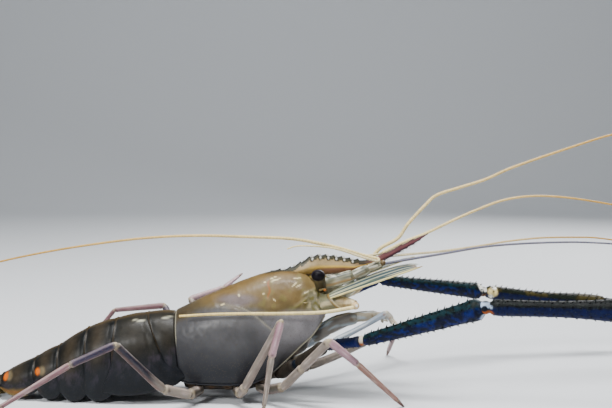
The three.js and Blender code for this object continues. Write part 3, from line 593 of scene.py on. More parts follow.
def paintTail(number, share, x, y, z, height):
    p = tailPaint
    drift = noiseAt(x * 0.25, y * 0.25, z * 0.2 + number) + 0.5 * noiseAt(x, y, z + number)
    if number < 3:
        band = layered(p["olive"], p, ("tan", 0.45 * near(0.45, 0.5, share + 0.1 * drift)),
                       ("dark", (0.75 if number == 2 else 0.45) * rise(0.75, 0.98, share + 0.1 * drift)))
    else:
        band = layered(p["dark"], p, ("tan", 0.95 * near(0.54 + 0.06 * drift, 0.48, share)),
                       ("pale", 0.4 * near(0.55, 0.25, share)))
    low = layered(p["slate"], p, ("slateLow", rise(16, 6, z)), ("blue", 0.25 + 0.25 * drift))
    sink = 0.4 if number < 4 else 0.34
    colour = layered(band.lerp(low, rise(sink + 0.24, sink - 0.1, height + 0.08 * drift)), p,
                     ("violet", 0.35 * near(0.4, 0.3, height) * rise(0.0, 0.5, drift)),
                     ("edge", 0.12 * rise(0.972, 0.992, share) * rise(0.45, 0.6, height)),
                     ("edge", 0.25 * rise(0.97, 1.0, height)))
    if number in tail["spots"]:
        spot, patch = tail["spots"][number]
        colour = layered(colour, p, ("cream", 0.32 * patchAt(patch, (2.4, 2.6), x, z)),
                         ("orange", patchAt(spot, (1.7, 2.1), x, z)))
    # painted highlights: short bright glints along the first two plates
    if number < 3:
        for centre in tail["glints"]:
            shine = patchAt(centre, (3.8, 0.42), x, z - 0.03 * (x - centre[0]))
            colour = colour.lerp(p["glint"], 0.8 * shine)
    if number == 6:
        colour = colour.lerp(p["gold"], 0.75 * rise(0.34, 0.12, height + 0.06 * drift) * rise(-69, -73, x))
    if number >= 5:
        colour = colour.lerp(p["rust"], 0.6 * near(0.14, 0.1, height) * rise(-62, -70, x))
    return colour


def addTailPlate(shape, number):
    look = tail
    front, rear = look["planes"][number - 1], look["planes"][number]
    steps = [(-0.12, 1.7), (-0.1, 1.2), (-0.05, 0.8), (0.0, 0.45), (0.03, 0.1)]
    steps += [(0.03 + 0.94 * i / look["rings"], 0.0) for i in range(1, look["rings"])]
    steps += [(0.985, -0.15), (1.0, -look["flare"]), (1.012, -look["flare"] + 0.05), (1.018, 0.15), (1.014, 0.7)]
    spread = {2: 3.4, 3: 1.2}.get(number, 0.4)  # how far the side flap reaches over its neighbours

    def ringAt(step):
        share, inset = step
        held = min(max(share, 0.0), 1.0)
        topX, topZ, lowX, lowZ, half = (a + (b - a) * held for a, b in zip(front, rear))
        reach = share - held
        topX += reach * (rear[0] - front[0])
        lowX += reach * (rear[2] - front[2]) * 0.6
        bulge = math.sin(math.pi * held)
        flap = abs(2 * held - 1) ** 3
        middle = Vector(((topX + lowX) / 2, 0, (topZ + lowZ) / 2))

        def corner(around):
            side, down = sideAndReach(around)
            wide, height = smoothRow(look["outline"], 1 + down * (len(look["outline"]) - 2))
            bottom = rise(0.45, 0.0, height)
            z = lowZ + (topZ - lowZ) * height + 0.5 * bulge * rise(0.3, 1.0, height)
            if number > 1:
                z += bottom * (2.6 * flap - 1.2 * bulge)
            x = lowX + (topX - lowX) * height + spread * (1 - 2 * held) * bottom
            swell = half + 0.5 * bulge + (0.9 if number == 2 else -0.5 * flap) * bottom
            point = Vector((x, side * wide * swell, z))
            outward = (point - middle).normalized()
            crease = -0.08 * near(0.18, 0.07, held) * rise(0.35, 0.55, height) if number > 1 else 0.0
            point += outward * (crease - inset + 0.08 * noise.noise(point * 0.4))
            return point, paintTail(number, held, point.x, point.y, point.z, height)
        return corner
    addSkin(shape, steps, look["corners"], ringAt)


for number in range(1, 7):
    shape = newShape()
    addTailPlate(shape, number)
    finishPiece("tailPlate_%d" % number, shape, tailChitin, "abdomen_%d" % number)
print("tail plates")

# Telson: a tapered spike over the middle of the fan, with two pairs of small spines on its back
# stations: x, the lowest and highest z, half the width
telson = {"stations": [[-83.8, 4.0, 10.8, 5.8], [-90.0, 3.8, 9.4, 5.4], [-98.0, 3.6, 7.4, 4.3],
                       [-106.0, 3.3, 5.6, 3.0], [-111.0, 3.1, 4.4, 1.9], [-113.4, 3.1, 3.8, 0.7]],
          "rings": 60}
shape = newShape()


def telsonRing(i):
    x, low, high, half = smoothRow(telson["stations"], (len(telson["stations"]) - 1) * i / telson["rings"])
    pinch = min(1.0, 0.6 + i / 8)

    def corner(share):
        y, up = circleAt(share)
        groove = -0.5 * near(0.0, 0.35, y) if up > 0 else 0.0
        point = Vector((x, y * half * pinch, (low + high) / 2 + (up * (high - low) / 2 + groove) * pinch))
        return point, layered(tailPaint["dark"], tailPaint, ("tan", rise(-96, -88, x)),
                              ("orange", 0.45 * rise(-107, -113, x)), ("edge", 0.4 * rise(0.8, 1.0, abs(y))))
    return corner


addSkin(shape, range(telson["rings"] + 1), 40, telsonRing)
for x in (-97.0, -104.0):
    for side in sides.values():
        half = rowAt([[-station[0], station[3]] for station in telson["stations"]], -x)[1]
        foot = Vector((x, side * half * 0.6, 6.6 + 0.15 * (x + 97)))
        addSpike(shape, foot, foot + Vector((-2.2, 0, 0.6)), 0.32, tailPaint["cream"])
for side in sides.values():
    for y, length in ((0.9, 1.6), (1.5, 0.9)):
        addSpike(shape, Vector((-111.2, side * y * 0.7, 3.7)), Vector((-111.2 - length, side * y, 3.6)), 0.2,
                 tailPaint["cream"])
finishPiece("telsonSpike", shape, tailChitin, "telson")

# Uropods: two pairs of fan blades on the floor, each with raised ribs and a fringe of bristles
fan = {
    "outer": {"length": 31.0, "width": 13.0, "level": 0.0, "turn": 0.56, "root": (-85.2, 4.8),
              "ribs": (-0.32, 0.18)},
    "inner": {"length": 28.0, "width": 10.0, "level": 1.5, "turn": 0.27, "root": (-85.2, 2.2), "ribs": (0.0,)},
    "thickness": 1.15,
    "bristle": 2.0,
    "bristles": 44,
}
fanPaint = colours(root="#6a582e", blade="#101416", tip="#4c2c16", rib="#4a3e28", bristle="#6e5c3c")


def fanPoint(blade, side, along, across, height):
    # along and across are shares of the blade, height in millimetres over its underside
    waist = 0.45 + 0.55 * math.sin(math.pi / 2 * min(1.0, along * 1.6))
    half = blade["width"] / 2 * waist * math.sqrt(max(0.0, 1 - (2 * along - 1) ** 2))
    x, y = along * blade["length"], across * half
    turn = math.pi - side * blade["turn"]
    return Vector((blade["root"][0] + x * math.cos(turn) - y * math.sin(turn),
                   side * blade["root"][1] + x * math.sin(turn) + y * math.cos(turn), blade["level"] + height))


def fanBlade(shape, blade, side):
    def ringAt(i):
        along = 0.003 + 0.994 * (1 - math.cos(math.pi * i / 48)) / 2

        def corner(share):
            across, up = circleAt(share)
            rim = math.sqrt(max(0.0, 1 - abs(across) ** 6))
            height = fan["thickness"] * (0.5 + 0.5 * rim * (1 if up > 0 else -1)) * (0.55 if up > 0 else 1)
            rib = max(near(centre * (1 - 0.5 * along), 0.09, across) for centre in blade["ribs"])
            rib *= rise(1.0, 0.85, along)
            if up > 0:
                height += fan["thickness"] * 0.42 * rib * rim + 0.05 * math.sin(along * 90 + 3 * abs(across)) * rim
            return fanPoint(blade, side, along, across, height), layered(
                fanPaint["blade"], fanPaint, ("root", rise(0.35, 0.05, along)), ("tip", 0.8 * rise(0.7, 1.0, along)),
                ("rib", 0.7 * rib))
        return corner
    addSkin(shape, range(49), 48, ringAt)
    for i in range(fan["bristles"]):
        share = (i + 0.5) / fan["bristles"]
        along, edge = (0.25 + 1.5 * share, 1) if share < 0.5 else (0.25 + 1.5 * (1 - share), -1)
        along = min(along, 0.985)
        foot = fanPoint(blade, side, along, 0.96 * edge, 0.5)
        out = foot - fanPoint(blade, side, max(0.1, along - 0.25), 0.0, 0.5)
        reach = fan["bristle"] * (0.5 if along < 0.6 else 1.0)
        addSpike(shape, foot, foot + out.normalized() * reach, 0.16, fanPaint["bristle"], 3)


for kind in ("outer", "inner"):
    for word, side in sides.items():
        shape = newShape()
        fanBlade(shape, fan[kind], side)
        finishPiece("fanBlade_%s_%s" % (kind, word), shape, tailChitin, "uropod_%s_%s" % (kind, word))
print("tail fan")

# Pleopods: a short stem and two leaf-like paddles under each of the first five plates, folded back
paddles = {"roots": [[-5.5, 9.6], [-19.0, 7.6], [-33.0, 6.6], [-46.0, 6.4], [-58.0, 6.2]], "length": 9.6,
           "width": 4.4, "pitch": 0.6, "bristle": 1.3, "bristles": 18}
paddlePaint = colours(leaf="#5c5450", rim="#8f8470", stem="#3f3b36")
for number, (rootX, rootZ) in enumerate(paddles["roots"], 1):
    for word, side in sides.items():
        shape = newShape()
        shrink = 1 - 0.06 * (number - 1)
        for lean, inward, size in ((0.0, 0.0, 1.0), (0.12, 1.5, 0.8)):
            centre = Vector((rootX, side * (5.2 * shrink - inward), rootZ - 0.9))
            turn = Matrix.Rotation(-paddles["pitch"] - lean, 4, "Y")
            long, wide = (paddles[key] / 2 * shrink * size for key in ("length", "width"))
            addBall(shape, centre, (long, wide, 0.5), paddlePaint["leaf"], turn, 20, 10)
            for i in range(paddles["bristles"]):
                angle = math.pi * (0.55 + 0.9 * (i + 0.5) / paddles["bristles"])
                rim = Vector((math.cos(angle) * long, math.sin(angle) * wide, 0))
                addSpike(shape, centre + turn @ (rim * 0.97),
                         centre + turn @ (rim * (1 + paddles["bristle"] / rim.length)), 0.12, paddlePaint["rim"], 3)
        stem = [[rootX + ahead * shrink, side * out * shrink, rootZ + up, radius] for ahead, out, up, radius in
                ((4.4, 5.0, 4.4, 1.3), (3.6, 4.9, 1.8, 1.2), (1.6, 4.8, -0.4, 0.8))]
        addTube(shape, stationsAlong(stem, 0.6), 12, lambda s, a: paddlePaint["stem"])
        finishPiece("paddle_%d_%s" % (number, word), shape, legChitin, "pleopod_%d_%s" % (number, word))
print("paddles")


# Rostrum: the toothed horn, with a keel along each side and tufts of bristles between its teeth
# top, under: x and z of the upper and lower edge without the teeth; topTeeth, underTeeth: x of each tooth's back;
# topTooth, underTooth: length and height; halves: x and half the width
rostrum = {
    "top": [[44.5, 60.9], [51.6, 61.4], [56.0, 63.1], [59.5, 65.0], [63.0, 67.0], [68.0, 68.1], [73.2, 67.8],
            [80.0, 66.9], [85.0, 66.0], [91.0, 66.3], [99.0, 69.2], [106.0, 72.7], [113.0, 76.0], [119.6, 78.8]],
    "under": [[44.5, 59.4], [52.0, 58.6], [58.5, 58.4], [62.5, 58.6], [71.0, 58.9], [77.5, 59.6], [84.0, 60.1],
              [90.0, 62.2], [98.0, 65.3], [106.0, 69.8], [113.0, 73.8], [119.6, 78.3]],
    "topTeeth": [46.4, 51.2, 56.0, 60.4, 64.4, 68.2, 72.0, 75.8, 79.6, 83.6, 96.4, 104.2, 109.6],
    "underTeeth": [97.0, 100.6, 104.2, 107.6, 110.8, 113.8],
    "topTooth": (3.2, 0.9),
    "underTooth": (2.6, 0.8),
    "halves": [[44.5, 0.7], [55.0, 1.75], [62.0, 2.5], [66.5, 2.7], [71.0, 2.3], [76.0, 1.85], [85.0, 1.4],
               [96.0, 1.04], [108.0, 0.72], [119.6, 0.45]],
    "rings": 400,
    "bristle": 0.12,
}
rostrumPaint = colours(gold="#806834", tan="#a08c66", stripe="#74503e", line="#c8a44a", brown="#64403a",
                       red="#562a2e", purple="#3c1626", tooth="#0a0e0a", crest="#2c3228", under="#7c6450",
                       bristle="#e8e6dc")


def toothHeight(teeth, size, x):
    # a steep-fronted tooth that leans forward over its own foot
    for start in teeth:
        share = (x - start) / size[0]
        if 0.0 <= share <= 1.0:
            tall = size[1] * (0.55 if start > 90 else 1.0)
            return tall * (share / 0.86) ** 1.3 if share < 0.86 else tall * (1 - share) / 0.14
    return 0.0


def rostrumRing(x):
    bite = toothHeight(rostrum["topTeeth"], rostrum["topTooth"], x)
    nip = toothHeight(rostrum["underTeeth"], rostrum["underTooth"], x)
    top, under = rowAt(rostrum["top"], x)[1], rowAt(rostrum["under"], x)[1]
    half = rowAt(rostrum["halves"], x)[1]
    keel = under + (top - under) * 0.36

    def corner(share):
        y, up = circleAt(share)
        if up >= 0:
            z = keel + (top - keel) * (1 - (1 - up) ** 1.2) + bite * rise(0.7, 1.0, up)
            wide = half * (abs(y) ** 1.5 * 0.72 + 0.28 * abs(y) ** 0.3 * rise(0.5, 0.0, up)) + 0.16 * abs(y)
        else:
            z = keel + (keel - under) * up - nip * rise(0.7, 1.0, -up)
            wide = half * abs(y) ** 1.3 + 0.14 * abs(y)
        # cream above a thin gold line, which is a painted highlight along the side keel, mauve-brown below it, and a
        # dark crest with pale tufts between the teeth
        p = rostrumPaint
        colour = layered(p["gold"], p, ("tan", rise(0.1, 0.3, up) * rise(52, 62, x)),
                         ("stripe", 0.9 * rise(0.13, -0.1, up) * rise(64, 72, x)),
                         ("under", rise(-0.5, -0.9, up)), ("brown", rise(82, 92, x)))
        colour = colour.lerp(p["red"].lerp(p["purple"], rise(0.1, -0.3, up)), rise(90, 102, x))
        depth = top + bite - z
        tufts = [("bristle", 0.75 * patchAt((start + 0.1, 0.85), (0.6, 0.75), x, depth))
                 for start in rostrum["topTeeth"][4:10]]
        # the thin gold line: a painted highlight along the side keel
        colour = layered(colour, p, ("line", 0.85 * near(0.13, 0.11, up) * rise(60, 68, x) * rise(97, 92, x)),
                         ("crest", 0.9 * rise(2.0, 1.5, depth) * rise(96, 86, x)),
                         ("tooth", 0.95 * max(rise(0.9, 0.5, depth), near(1.8, 0.4, depth)) * rise(98, 88, x)),
                         *tufts, ("tooth", 0.5 * rise(0.8, 0.3, depth) * rise(96, 100, x)))
        return Vector((x, (1 if y > 0 else -1) * wide, z)), colour
    return corner


shape = newShape()
root, point = rostrum["top"][0][0], rostrum["top"][-1][0]
ringsAt = [root + (point - root) * i / rostrum["rings"] for i in range(rostrum["rings"] + 1)]
addSkin(shape, ringsAt, 48, rostrumRing)
chance = random.Random(4)
# bristles between the teeth: first teeth, edge, count, start and length of the row, depth of the roots, and the
# lean and reach of the tips
for starts, edge, count, back, length, sink, lean, sway, reach in (
        (rostrum["topTeeth"][1:10], "top", 18, -0.9, 1.2, -0.3, (-0.4, 0.7), (-0.6, 0.5), (1.1, 1.7)),
        (rostrum["underTeeth"] + [90.0, 93.6], "under", 12, -1.6, 2.2, 0.2, (-0.2, 1.3), (-0.5, 0.5), (1.2, 2.3))):
    for start in starts:
        for hair in range(count):
            x = start + back + length * hair / count
            foot = Vector((x, chance.uniform(-0.3, 0.3), rowAt(rostrum[edge], x)[1] + sink))
            tip = foot + Vector((chance.uniform(*lean), chance.uniform(*sway),
                                 chance.uniform(*reach) * (1 if edge == "top" else -1)))
            addSpike(shape, foot, tip, rostrum["bristle"], rostrumPaint["bristle"], 3)
finishPiece("toothedRostrum", shape, hornChitin, "rostrum")
print("rostrum")


# Limbs: separate articles that narrow at their root and flare into a hinge at their far end

def addArticle(shape, stops, corners, paintAt, flat=0.9, spacing=0.55, flare=0.05, neck=0.85):
    stations = stationsAlong(stops, spacing)
    reached = distancesAlong(stations)
    length = reached[-1]
    for station, done in zip(stations, reached):
        radius, left = station[3], length - done
        station[3] *= neck + (1 - neck) * rise(0.0, 1.3 * radius, done)
        station[3] *= (1 + flare * near(radius, 1.3 * radius, left)) * (0.7 + 0.3 * rise(0.0, 0.6 * radius, left))

    def paint(share, around):
        return paintAt(share * length, (1 - share) * length, around)
    return stations, addTube(shape, stations, corners, paint, flat)


def addJoint(shape, stop, share, colour):
    # the ball between two articles, a share of their radius
    addBall(shape, Vector(stop[:3]), [stop[3] * share] * 3, colour)


def jointPaint(colour, look, done, left, radius, around):
    # cream hinges with a pair of dark pivots
    cream = max(rise(1.2 * radius, 0.4 * radius, left), 0.7 * rise(0.8 * radius, 0.2 * radius, done))
    pivot = near(0.95 * radius, 0.5 * radius, left) * max(near(at, 0.1, around) for at in (0.0, 0.5, 1.0))
    return layered(colour, look, ("joint", 0.4 * cream), ("pivot", 0.9 * pivot))


legPaint = colours(joint="#a29478", pivot="#2a1c14", coxa="#403c34", beige="#7c7268", mauve="#332a3e",
                   dusk="#181620", lilac="#9c7a84", pink="#8e6658", rose="#725256", pale="#a88e92", toe="#4c2418",
                   blue="#10122a", streak="#d8c6bc", edge="#5c3a30")
# stops: x, y, z and radius; joints: the stops where one article ends and the next begins; tones: their colours
walkers = {
    "walking_leg_1_right": {
        "stops": [[39.0, -10.6, 7.2, 2.5], [44.0, -15.6, 7.2, 2.4], [51.0, -23.0, 10.2, 2.2], [60.0, -32.6, 21.4, 2.0],
                  [71.5, -46.0, 36.2, 1.85], [84.2, -41.0, 24.9, 1.5], [103.4, -22.6, 3.8, 1.05],
                  [106.8, -19.4, -0.1, 0.45]],
        "joints": [0, 2, 3, 4, 5, 6, 7], "tones": ["coxa", "beige", "beige", "lilac", "pink", "toe"]},
    "walking_leg_2_right": {
        "stops": [[28.6, -11.2, 6.0, 2.6], [31.0, -19.6, 6.2, 2.3], [33.6, -23.6, 10.4, 2.1], [50.5, -42.0, 44.0, 1.7],
                  [46.2, -42.0, 28.0, 1.6], [42.8, -41.0, 5.8, 0.95], [41.8, -40.4, -0.1, 0.45]],
        "joints": [0, 1, 2, 3, 4, 5, 6], "tones": ["coxa", "beige", "beige", "lilac", "beige", "toe"]},
    "walking_leg_3_right": {
        "stops": [[11.6, -11.0, 6.0, 2.6], [7.6, -21.6, 6.2, 2.4], [-3.2, -30.0, 11.0, 2.2], [-7.8, -34.0, 16.6, 2.0],
                  [-21.9, -44.0, 34.2, 1.8], [-41.0, -48.0, 26.2, 1.5], [-69.6, -54.0, 9.3, 1.0],
                  [-82.0, -56.6, -0.1, 0.45]],
        "joints": [0, 1, 2, 4, 5, 6, 7], "tones": ["coxa", "beige", "dusk", "mauve", "rose", "toe"]},
    "walking_leg_1_left": {
        "stops": [[39.0, 10.6, 7.2, 2.5], [50.0, 18.0, 7.2, 2.4], [63.0, 26.0, 8.2, 2.2], [78.0, 36.0, 12.0, 2.1],
                  [93.2, 48.0, 16.2, 1.9], [110.6, 64.0, 19.0, 1.7], [108.2, 84.5, 4.0, 1.25],
                  [107.6, 89.0, -0.1, 0.45]],
        "joints": [0, 1, 2, 4, 5, 6, 7], "tones": ["coxa", "beige", "beige", "lilac", "pale", "toe"]},
    "walking_leg_2_left": {
        "stops": [[28.6, 11.2, 6.0, 2.6], [27.2, 20.4, 6.2, 2.4], [20.5, 29.0, 14.0, 2.0], [0.2, 48.0, 39.2, 1.6],
                  [18.0, 50.0, 44.9, 1.45], [24.6, 66.0, 48.6, 0.85], [26.4, 70.5, 49.6, 0.45]],
        "joints": [0, 1, 2, 3, 4, 5, 6], "tones": ["coxa", "beige", "beige", "pale", "lilac", "toe"]},
    "walking_leg_3_left": {
        "stops": [[11.6, 11.0, 6.0, 2.6], [8.0, 20.8, 6.2, 2.4], [2.0, 29.0, 13.6, 2.2], [-12.9, 45.0, 36.2, 1.7],
                  [-40.2, 50.0, 32.9, 1.2], [-62.6, 57.4, 5.4, 0.95], [-67.0, 59.0, -0.1, 0.45]],
        "joints": [0, 1, 2, 3, 4, 5, 6], "tones": ["coxa", "beige", "mauve", "rose", "rose", "toe"]},
}


def legPainter(tone, radius, seed):
    p, dark = legPaint, tone in ("dusk", "mauve")

    def paint(done, left, around):
        # a pale streak along the top, which is a painted highlight, a brown one below, and fine lengthwise streaks
        up = circleAt(around)[1]
        stripe = 0.5 + 0.5 * noiseAt(around * 9, done * 0.12, seed)
        colour = p[tone].lerp(p["streak"], (0.12 if dark else 0.35) * rise(0.55, 0.8, stripe))
        if dark:
            # bluest at the knee between the two dark articles, and pale again towards the body
            knee = rise(24, 8, done) if tone == "mauve" else rise(24, 6, left)
            colour = layered(colour, p, ("blue", 0.8 * near(0.1, 0.6, up) * knee),
                             ("beige", (0.8 if tone == "dusk" else 0.0) * rise(12, 3, done)))
        # painted highlight: the pale streak along the top
        colour = layered(colour, p, ("streak", (0.16 if dark else 0.3) * near(0.8, 0.3, up)),
                         ("edge", (0.3 if tone == "beige" else 0.5) * rise(-0.35, -0.8, up)))
        return jointPaint(colour, p, done, left, radius, around)
    return paint


def addHairs(shape, frames, stations, count, length, width, colour, chance, flat=0.9):
    # bristles strewn over an article, leaning forward
    for _ in range(count):
        i = chance.randrange(4, len(frames) - 4)
        centre, across, up, way = frames[i]
        wide, high = circleAt(chance.random())
        out = across * wide * flat + up * high
        foot = centre + out * stations[i][3] * 0.96
        lean = (out + way * chance.uniform(0.6, 1.4)).normalized()
        addSpike(shape, foot, foot + lean * chance.uniform(0.6, 1.0) * length, width, colour, 3)


for seed, (name, leg) in enumerate(walkers.items()):
    shape = newShape()
    chance = random.Random(seed)
    for number, (start, end) in enumerate(zip(leg["joints"], leg["joints"][1:])):
        part = leg["stops"][start:end + 1]
        toe = number == len(leg["tones"]) - 1  # the last article only narrows
        stations, frames = addArticle(shape, part, 20, legPainter(leg["tones"][number], part[-1][3], seed + number),
                                      flare=0.0 if toe else 0.06)
        if not toe:
            addJoint(shape, part[-1], 0.7, legPaint["coxa" if number < 2 else "joint"])
            if len(frames) > 12:
                addHairs(shape, frames, stations, 10 if number > 2 else 16, 1.3, 0.055, legPaint["pivot"], chance)
    finishPiece("walkingLeg_" + name[12:], shape, legChitin, name)
print("walking legs")

# Pincer legs: slender, with a small two-fingered pincer, folded ahead of the mouth
pincerPaint = colours(joint="#b4ac98", pivot="#8a5a34", coxa="#4c463c", clear="#7c8792", palm="#9a968c",
                      under="#6a6c6e", streak="#d6dad8", finger="#bcb29c")
pincerLegs = {
    "pincer_leg_right": [[55.0, -9.4, 18.8, 2.4], [61.0, -14.6, 22.4, 2.1], [74.5, -18.4, 30.6, 1.6],
                         [87.0, -20.0, 37.4, 1.3], [98.4, -21.0, 44.2, 1.45], [100.8, -21.6, 41.2, 1.3]],
    "pincer_leg_left": [[55.0, 9.4, 18.8, 2.4], [61.0, 15.0, 21.4, 2.1], [73.0, 19.4, 27.4, 1.6],
                        [84.5, 21.0, 32.4, 1.3], [94.5, 22.0, 36.6, 1.45], [98.4, 22.6, 34.8, 1.3]],
}
pincerTips = {"pincer_leg_right": Vector((103.4, -22.6, 37.2)), "pincer_leg_left": Vector((102.6, 23.4, 31.8))}
for seed, (name, stops) in enumerate(pincerLegs.items(), 11):
    shape = newShape()
    for number, (start, end, tone) in enumerate(((0, 1, "coxa"), (1, 2, "clear"), (2, 4, "clear"), (4, 5, "palm"))):
        part = stops[start:end + 1]

        def paintRod(done, left, around):
            streak = 0.5 + 0.5 * noiseAt(around * 8, done * 0.1, seed + number)
            colour = layered(pincerPaint[tone], pincerPaint, ("streak", 0.5 * rise(0.5, 0.8, streak)),
                             ("under", 0.4 * near(0.75, 0.3, around)))
            return jointPaint(colour, pincerPaint, done, left, part[-1][3], around)
        addArticle(shape, part, 18, paintRod)
        addJoint(shape, part[-1], 0.75, pincerPaint["joint"])
    tip, root = pincerTips[name], Vector(stops[-1][:3])
    for spread in (-0.75, 0.75):
        apart = Vector((spread, 0, 0))
        middle = (tip + root) / 2 + Vector((spread * 0.9, 0, spread * 0.3))
        finger = [[*(root + apart * 0.6), 0.62], [*middle, 0.5], [*(tip + apart * 0.2), 0.2]]
        addTube(shape, stationsAlong(finger, 0.35), 12, lambda s, a: pincerPaint["finger"])
    finishPiece("pincerLeg_" + name[11:], shape, legChitin, name)

# Third maxillipeds: broad flat mouth legs fringed with bristles
mouthLegs = {
    "maxilliped_right": [[64.8, -4.0, 28.6, 2.3], [67.0, -5.0, 30.4, 2.6], [76.0, -11.0, 37.4, 2.9],
                         [85.2, -13.6, 40.8, 2.7], [94.0, -14.2, 42.0, 1.8], [99.6, -14.6, 41.0, 1.15],
                         [101.4, -14.8, 37.8, 0.5]],
    "maxilliped_left": [[64.8, 4.0, 28.6, 2.3], [67.0, 5.0, 30.4, 2.6], [76.0, 11.0, 34.4, 2.8],
                        [85.0, 13.0, 36.2, 2.5], [93.0, 13.6, 37.2, 1.8], [98.0, 13.8, 36.2, 1.15],
                        [99.4, 14.0, 33.0, 0.6]],
}
mouthPaint = colours(joint="#8c8878", pivot="#5c4a30", lens="#64605a", edge="#7c6c4c", tip="#8a8270",
                     bristle="#a89c7c", glass="#8e9ba2")
for seed, (name, stops) in enumerate(mouthLegs.items(), 21):
    shape = newShape()
    chance = random.Random(seed)
    for start, end, flat in ((0, 3, 0.45), (3, 4, 0.6), (4, 6, 0.75)):
        part = stops[start:end + 1]
        radius = part[-1][3]

        def paintLens(done, left, around):
            streak = noiseAt(around * 7, done * 0.09, start)
            colour = layered(mouthPaint["tip" if start else "lens"], mouthPaint,
                             ("glass", 0.8 * rise(0.02, 0.22, streak)),
                             ("edge", max(near(0.25, 0.07, around), near(0.75, 0.07, around))))
            return jointPaint(colour, mouthPaint, done, left, radius, around)
        frames = addArticle(shape, part, 24, paintLens, flat=flat)[1]
        for centre, across, up, way in frames[6:-2:2]:
            for turn in (-1, 1):
                foot = centre + up * turn * 0.9 * radius
                lean = (up * turn + way * chance.uniform(0.5, 1.2)).normalized()
                addSpike(shape, foot, foot + lean * 1.4, 0.06, mouthPaint["bristle"], 3)
    finishPiece("mouthLeg_" + name[11:], shape, legChitin, name)
print("mouth legs and pincer legs")


# Great claws
# arm: stops from the body to the elbow; then the wrist, the knuckle of the pincer and its tip
# endPatches, startPatches: bare skin and horn at the forearm's end and the palm's start, with the distance from the
# wrist, the turn from the left side, the reach and the colour; hinge: the colours above and below in the wrist
# forearm, palm, finger: the share of the way and the radius
greatClaws = {
    "right": {"arm": [[48.0, -10.0, 12.6, 3.0], [57.0, -18.6, 19.6, 3.0], [70.0, -27.4, 30.2, 2.9],
                      [85.3, -46.0, 36.2, 2.6]],
              "wrist": (133.6, -76.0, 56.3), "knuckle": (198.0, -86.2, 56.5), "tip": (235.0, -89.8, 54.0),
              "girth": {"forearm": 0.98, "palm": 0.9},
              "endPatches": ((0.9, 0.7, 1.5, "membrane"),),
              "startPatches": ((1.0, 0.46, 1.5, "membrane"), (1.4, 0.63, 1.8, "hook")),
              "hinge": ("membrane", "hook")},
    "left": {"arm": [[48.0, 10.0, 12.6, 3.0], [57.0, 21.0, 19.0, 3.0], [72.0, 33.0, 40.0, 2.9],
                     [99.0, 44.0, 50.0, 2.7]],
             "wrist": (158.6, 71.0, 39.5), "knuckle": (230.0, 86.0, 29.2), "tip": (265.0, 90.8, 24.8),
             "girth": {"forearm": 0.96, "palm": 0.98},
             "endPatches": ((1.8, 0.38, 3.4, "white"), (0.6, 0.62, 2.2, "brown")),
             "startPatches": ((4.2, 0.46, 3.4, "cream"), (5.0, 0.34, 1.7, "white"), (3.6, 0.6, 1.5, "white")),
             "hinge": ("white", "brown")},
    "forearm": [[0.0, 2.5], [0.12, 2.8], [0.5, 3.6], [0.8, 4.15], [0.93, 4.2], [1.0, 4.0]],
    "palm": [[0.0, 3.6], [0.1, 3.7], [0.4, 3.6], [0.6, 4.2], [0.75, 5.1], [0.88, 5.4], [1.0, 5.1]],
    "finger": [[-0.04, 2.0], [0.3, 1.85], [0.75, 1.25], [0.94, 0.6], [1.0, 0.22]],
    "spread": 2.3, "tipSpread": 0.3, "bow": 0.35,
    # rows of spines: the way around, in turns from the left side, and the spines' height
    "rows": ((0.25, 1.25), (0.34, 0.95), (0.16, 0.95), (0.44, 0.8), (0.75, 0.9), (0.66, 0.7)),
    "rowStep": 3.6,
}
clawPaint = colours(navy="#01071e", blue="#04185a", top="#050f0c", olive="#10150a", ochre="#352e10", teal="#052026",
                    black="#030306", spine="#040406", joint="#0a121e", membrane="#9fb0c8", cream="#c8b478",
                    white="#e8e6dc", hook="#7c3c10", brown="#4c3420", velvet="#0a0c12", crescent="#c8bca4",
                    flesh="#2c2620")


def paintClaw(seed, kind):
    def paint(done, around):
        # the upper half is teal, black, or dark green with a row of ochre blotches; the lower half is deep blue
        p = clawPaint
        wide, high = circleAt(around)
        blotch = noiseAt(done * 0.2, 0.5 * wide, seed + 0.5 * high)
        fine = noiseAt(done * 0.45, 2.4 * wide, seed + 5 + 2.4 * high)
        low = p["navy"].lerp(p["blue"], 0.7 * rise(-0.1, 0.4, fine) if kind == "teal" else 0.2)
        if kind == "teal":
            upper = p["top"].lerp(p["teal"], rise(-0.35, 0.1, fine))
        elif kind == "green":
            upper = layered(p["top"], p, ("olive", 0.6),
                            ("ochre", rise(0.0, 0.25, blotch) * near(0.34, 0.2, around)))
        else:
            upper = p["top"].lerp(p["black"], 0.6)
        over = near(0.25, 0.29 + 0.03 * fine, around if around < 0.75 else around - 1)
        return low.lerp(upper, rise(0.08, 0.3, over))
    return paint


def withPatches(colour, patches, place, around, girth):
    for at, turn, reach, name in patches:
        apart = abs((around - turn + 0.5) % 1.0 - 0.5) * 2 * math.pi * girth
        colour = colour.lerp(clawPaint[name], 1.0 - rise(0.65, 1.0, math.hypot(place - at, apart) / reach))
    return colour


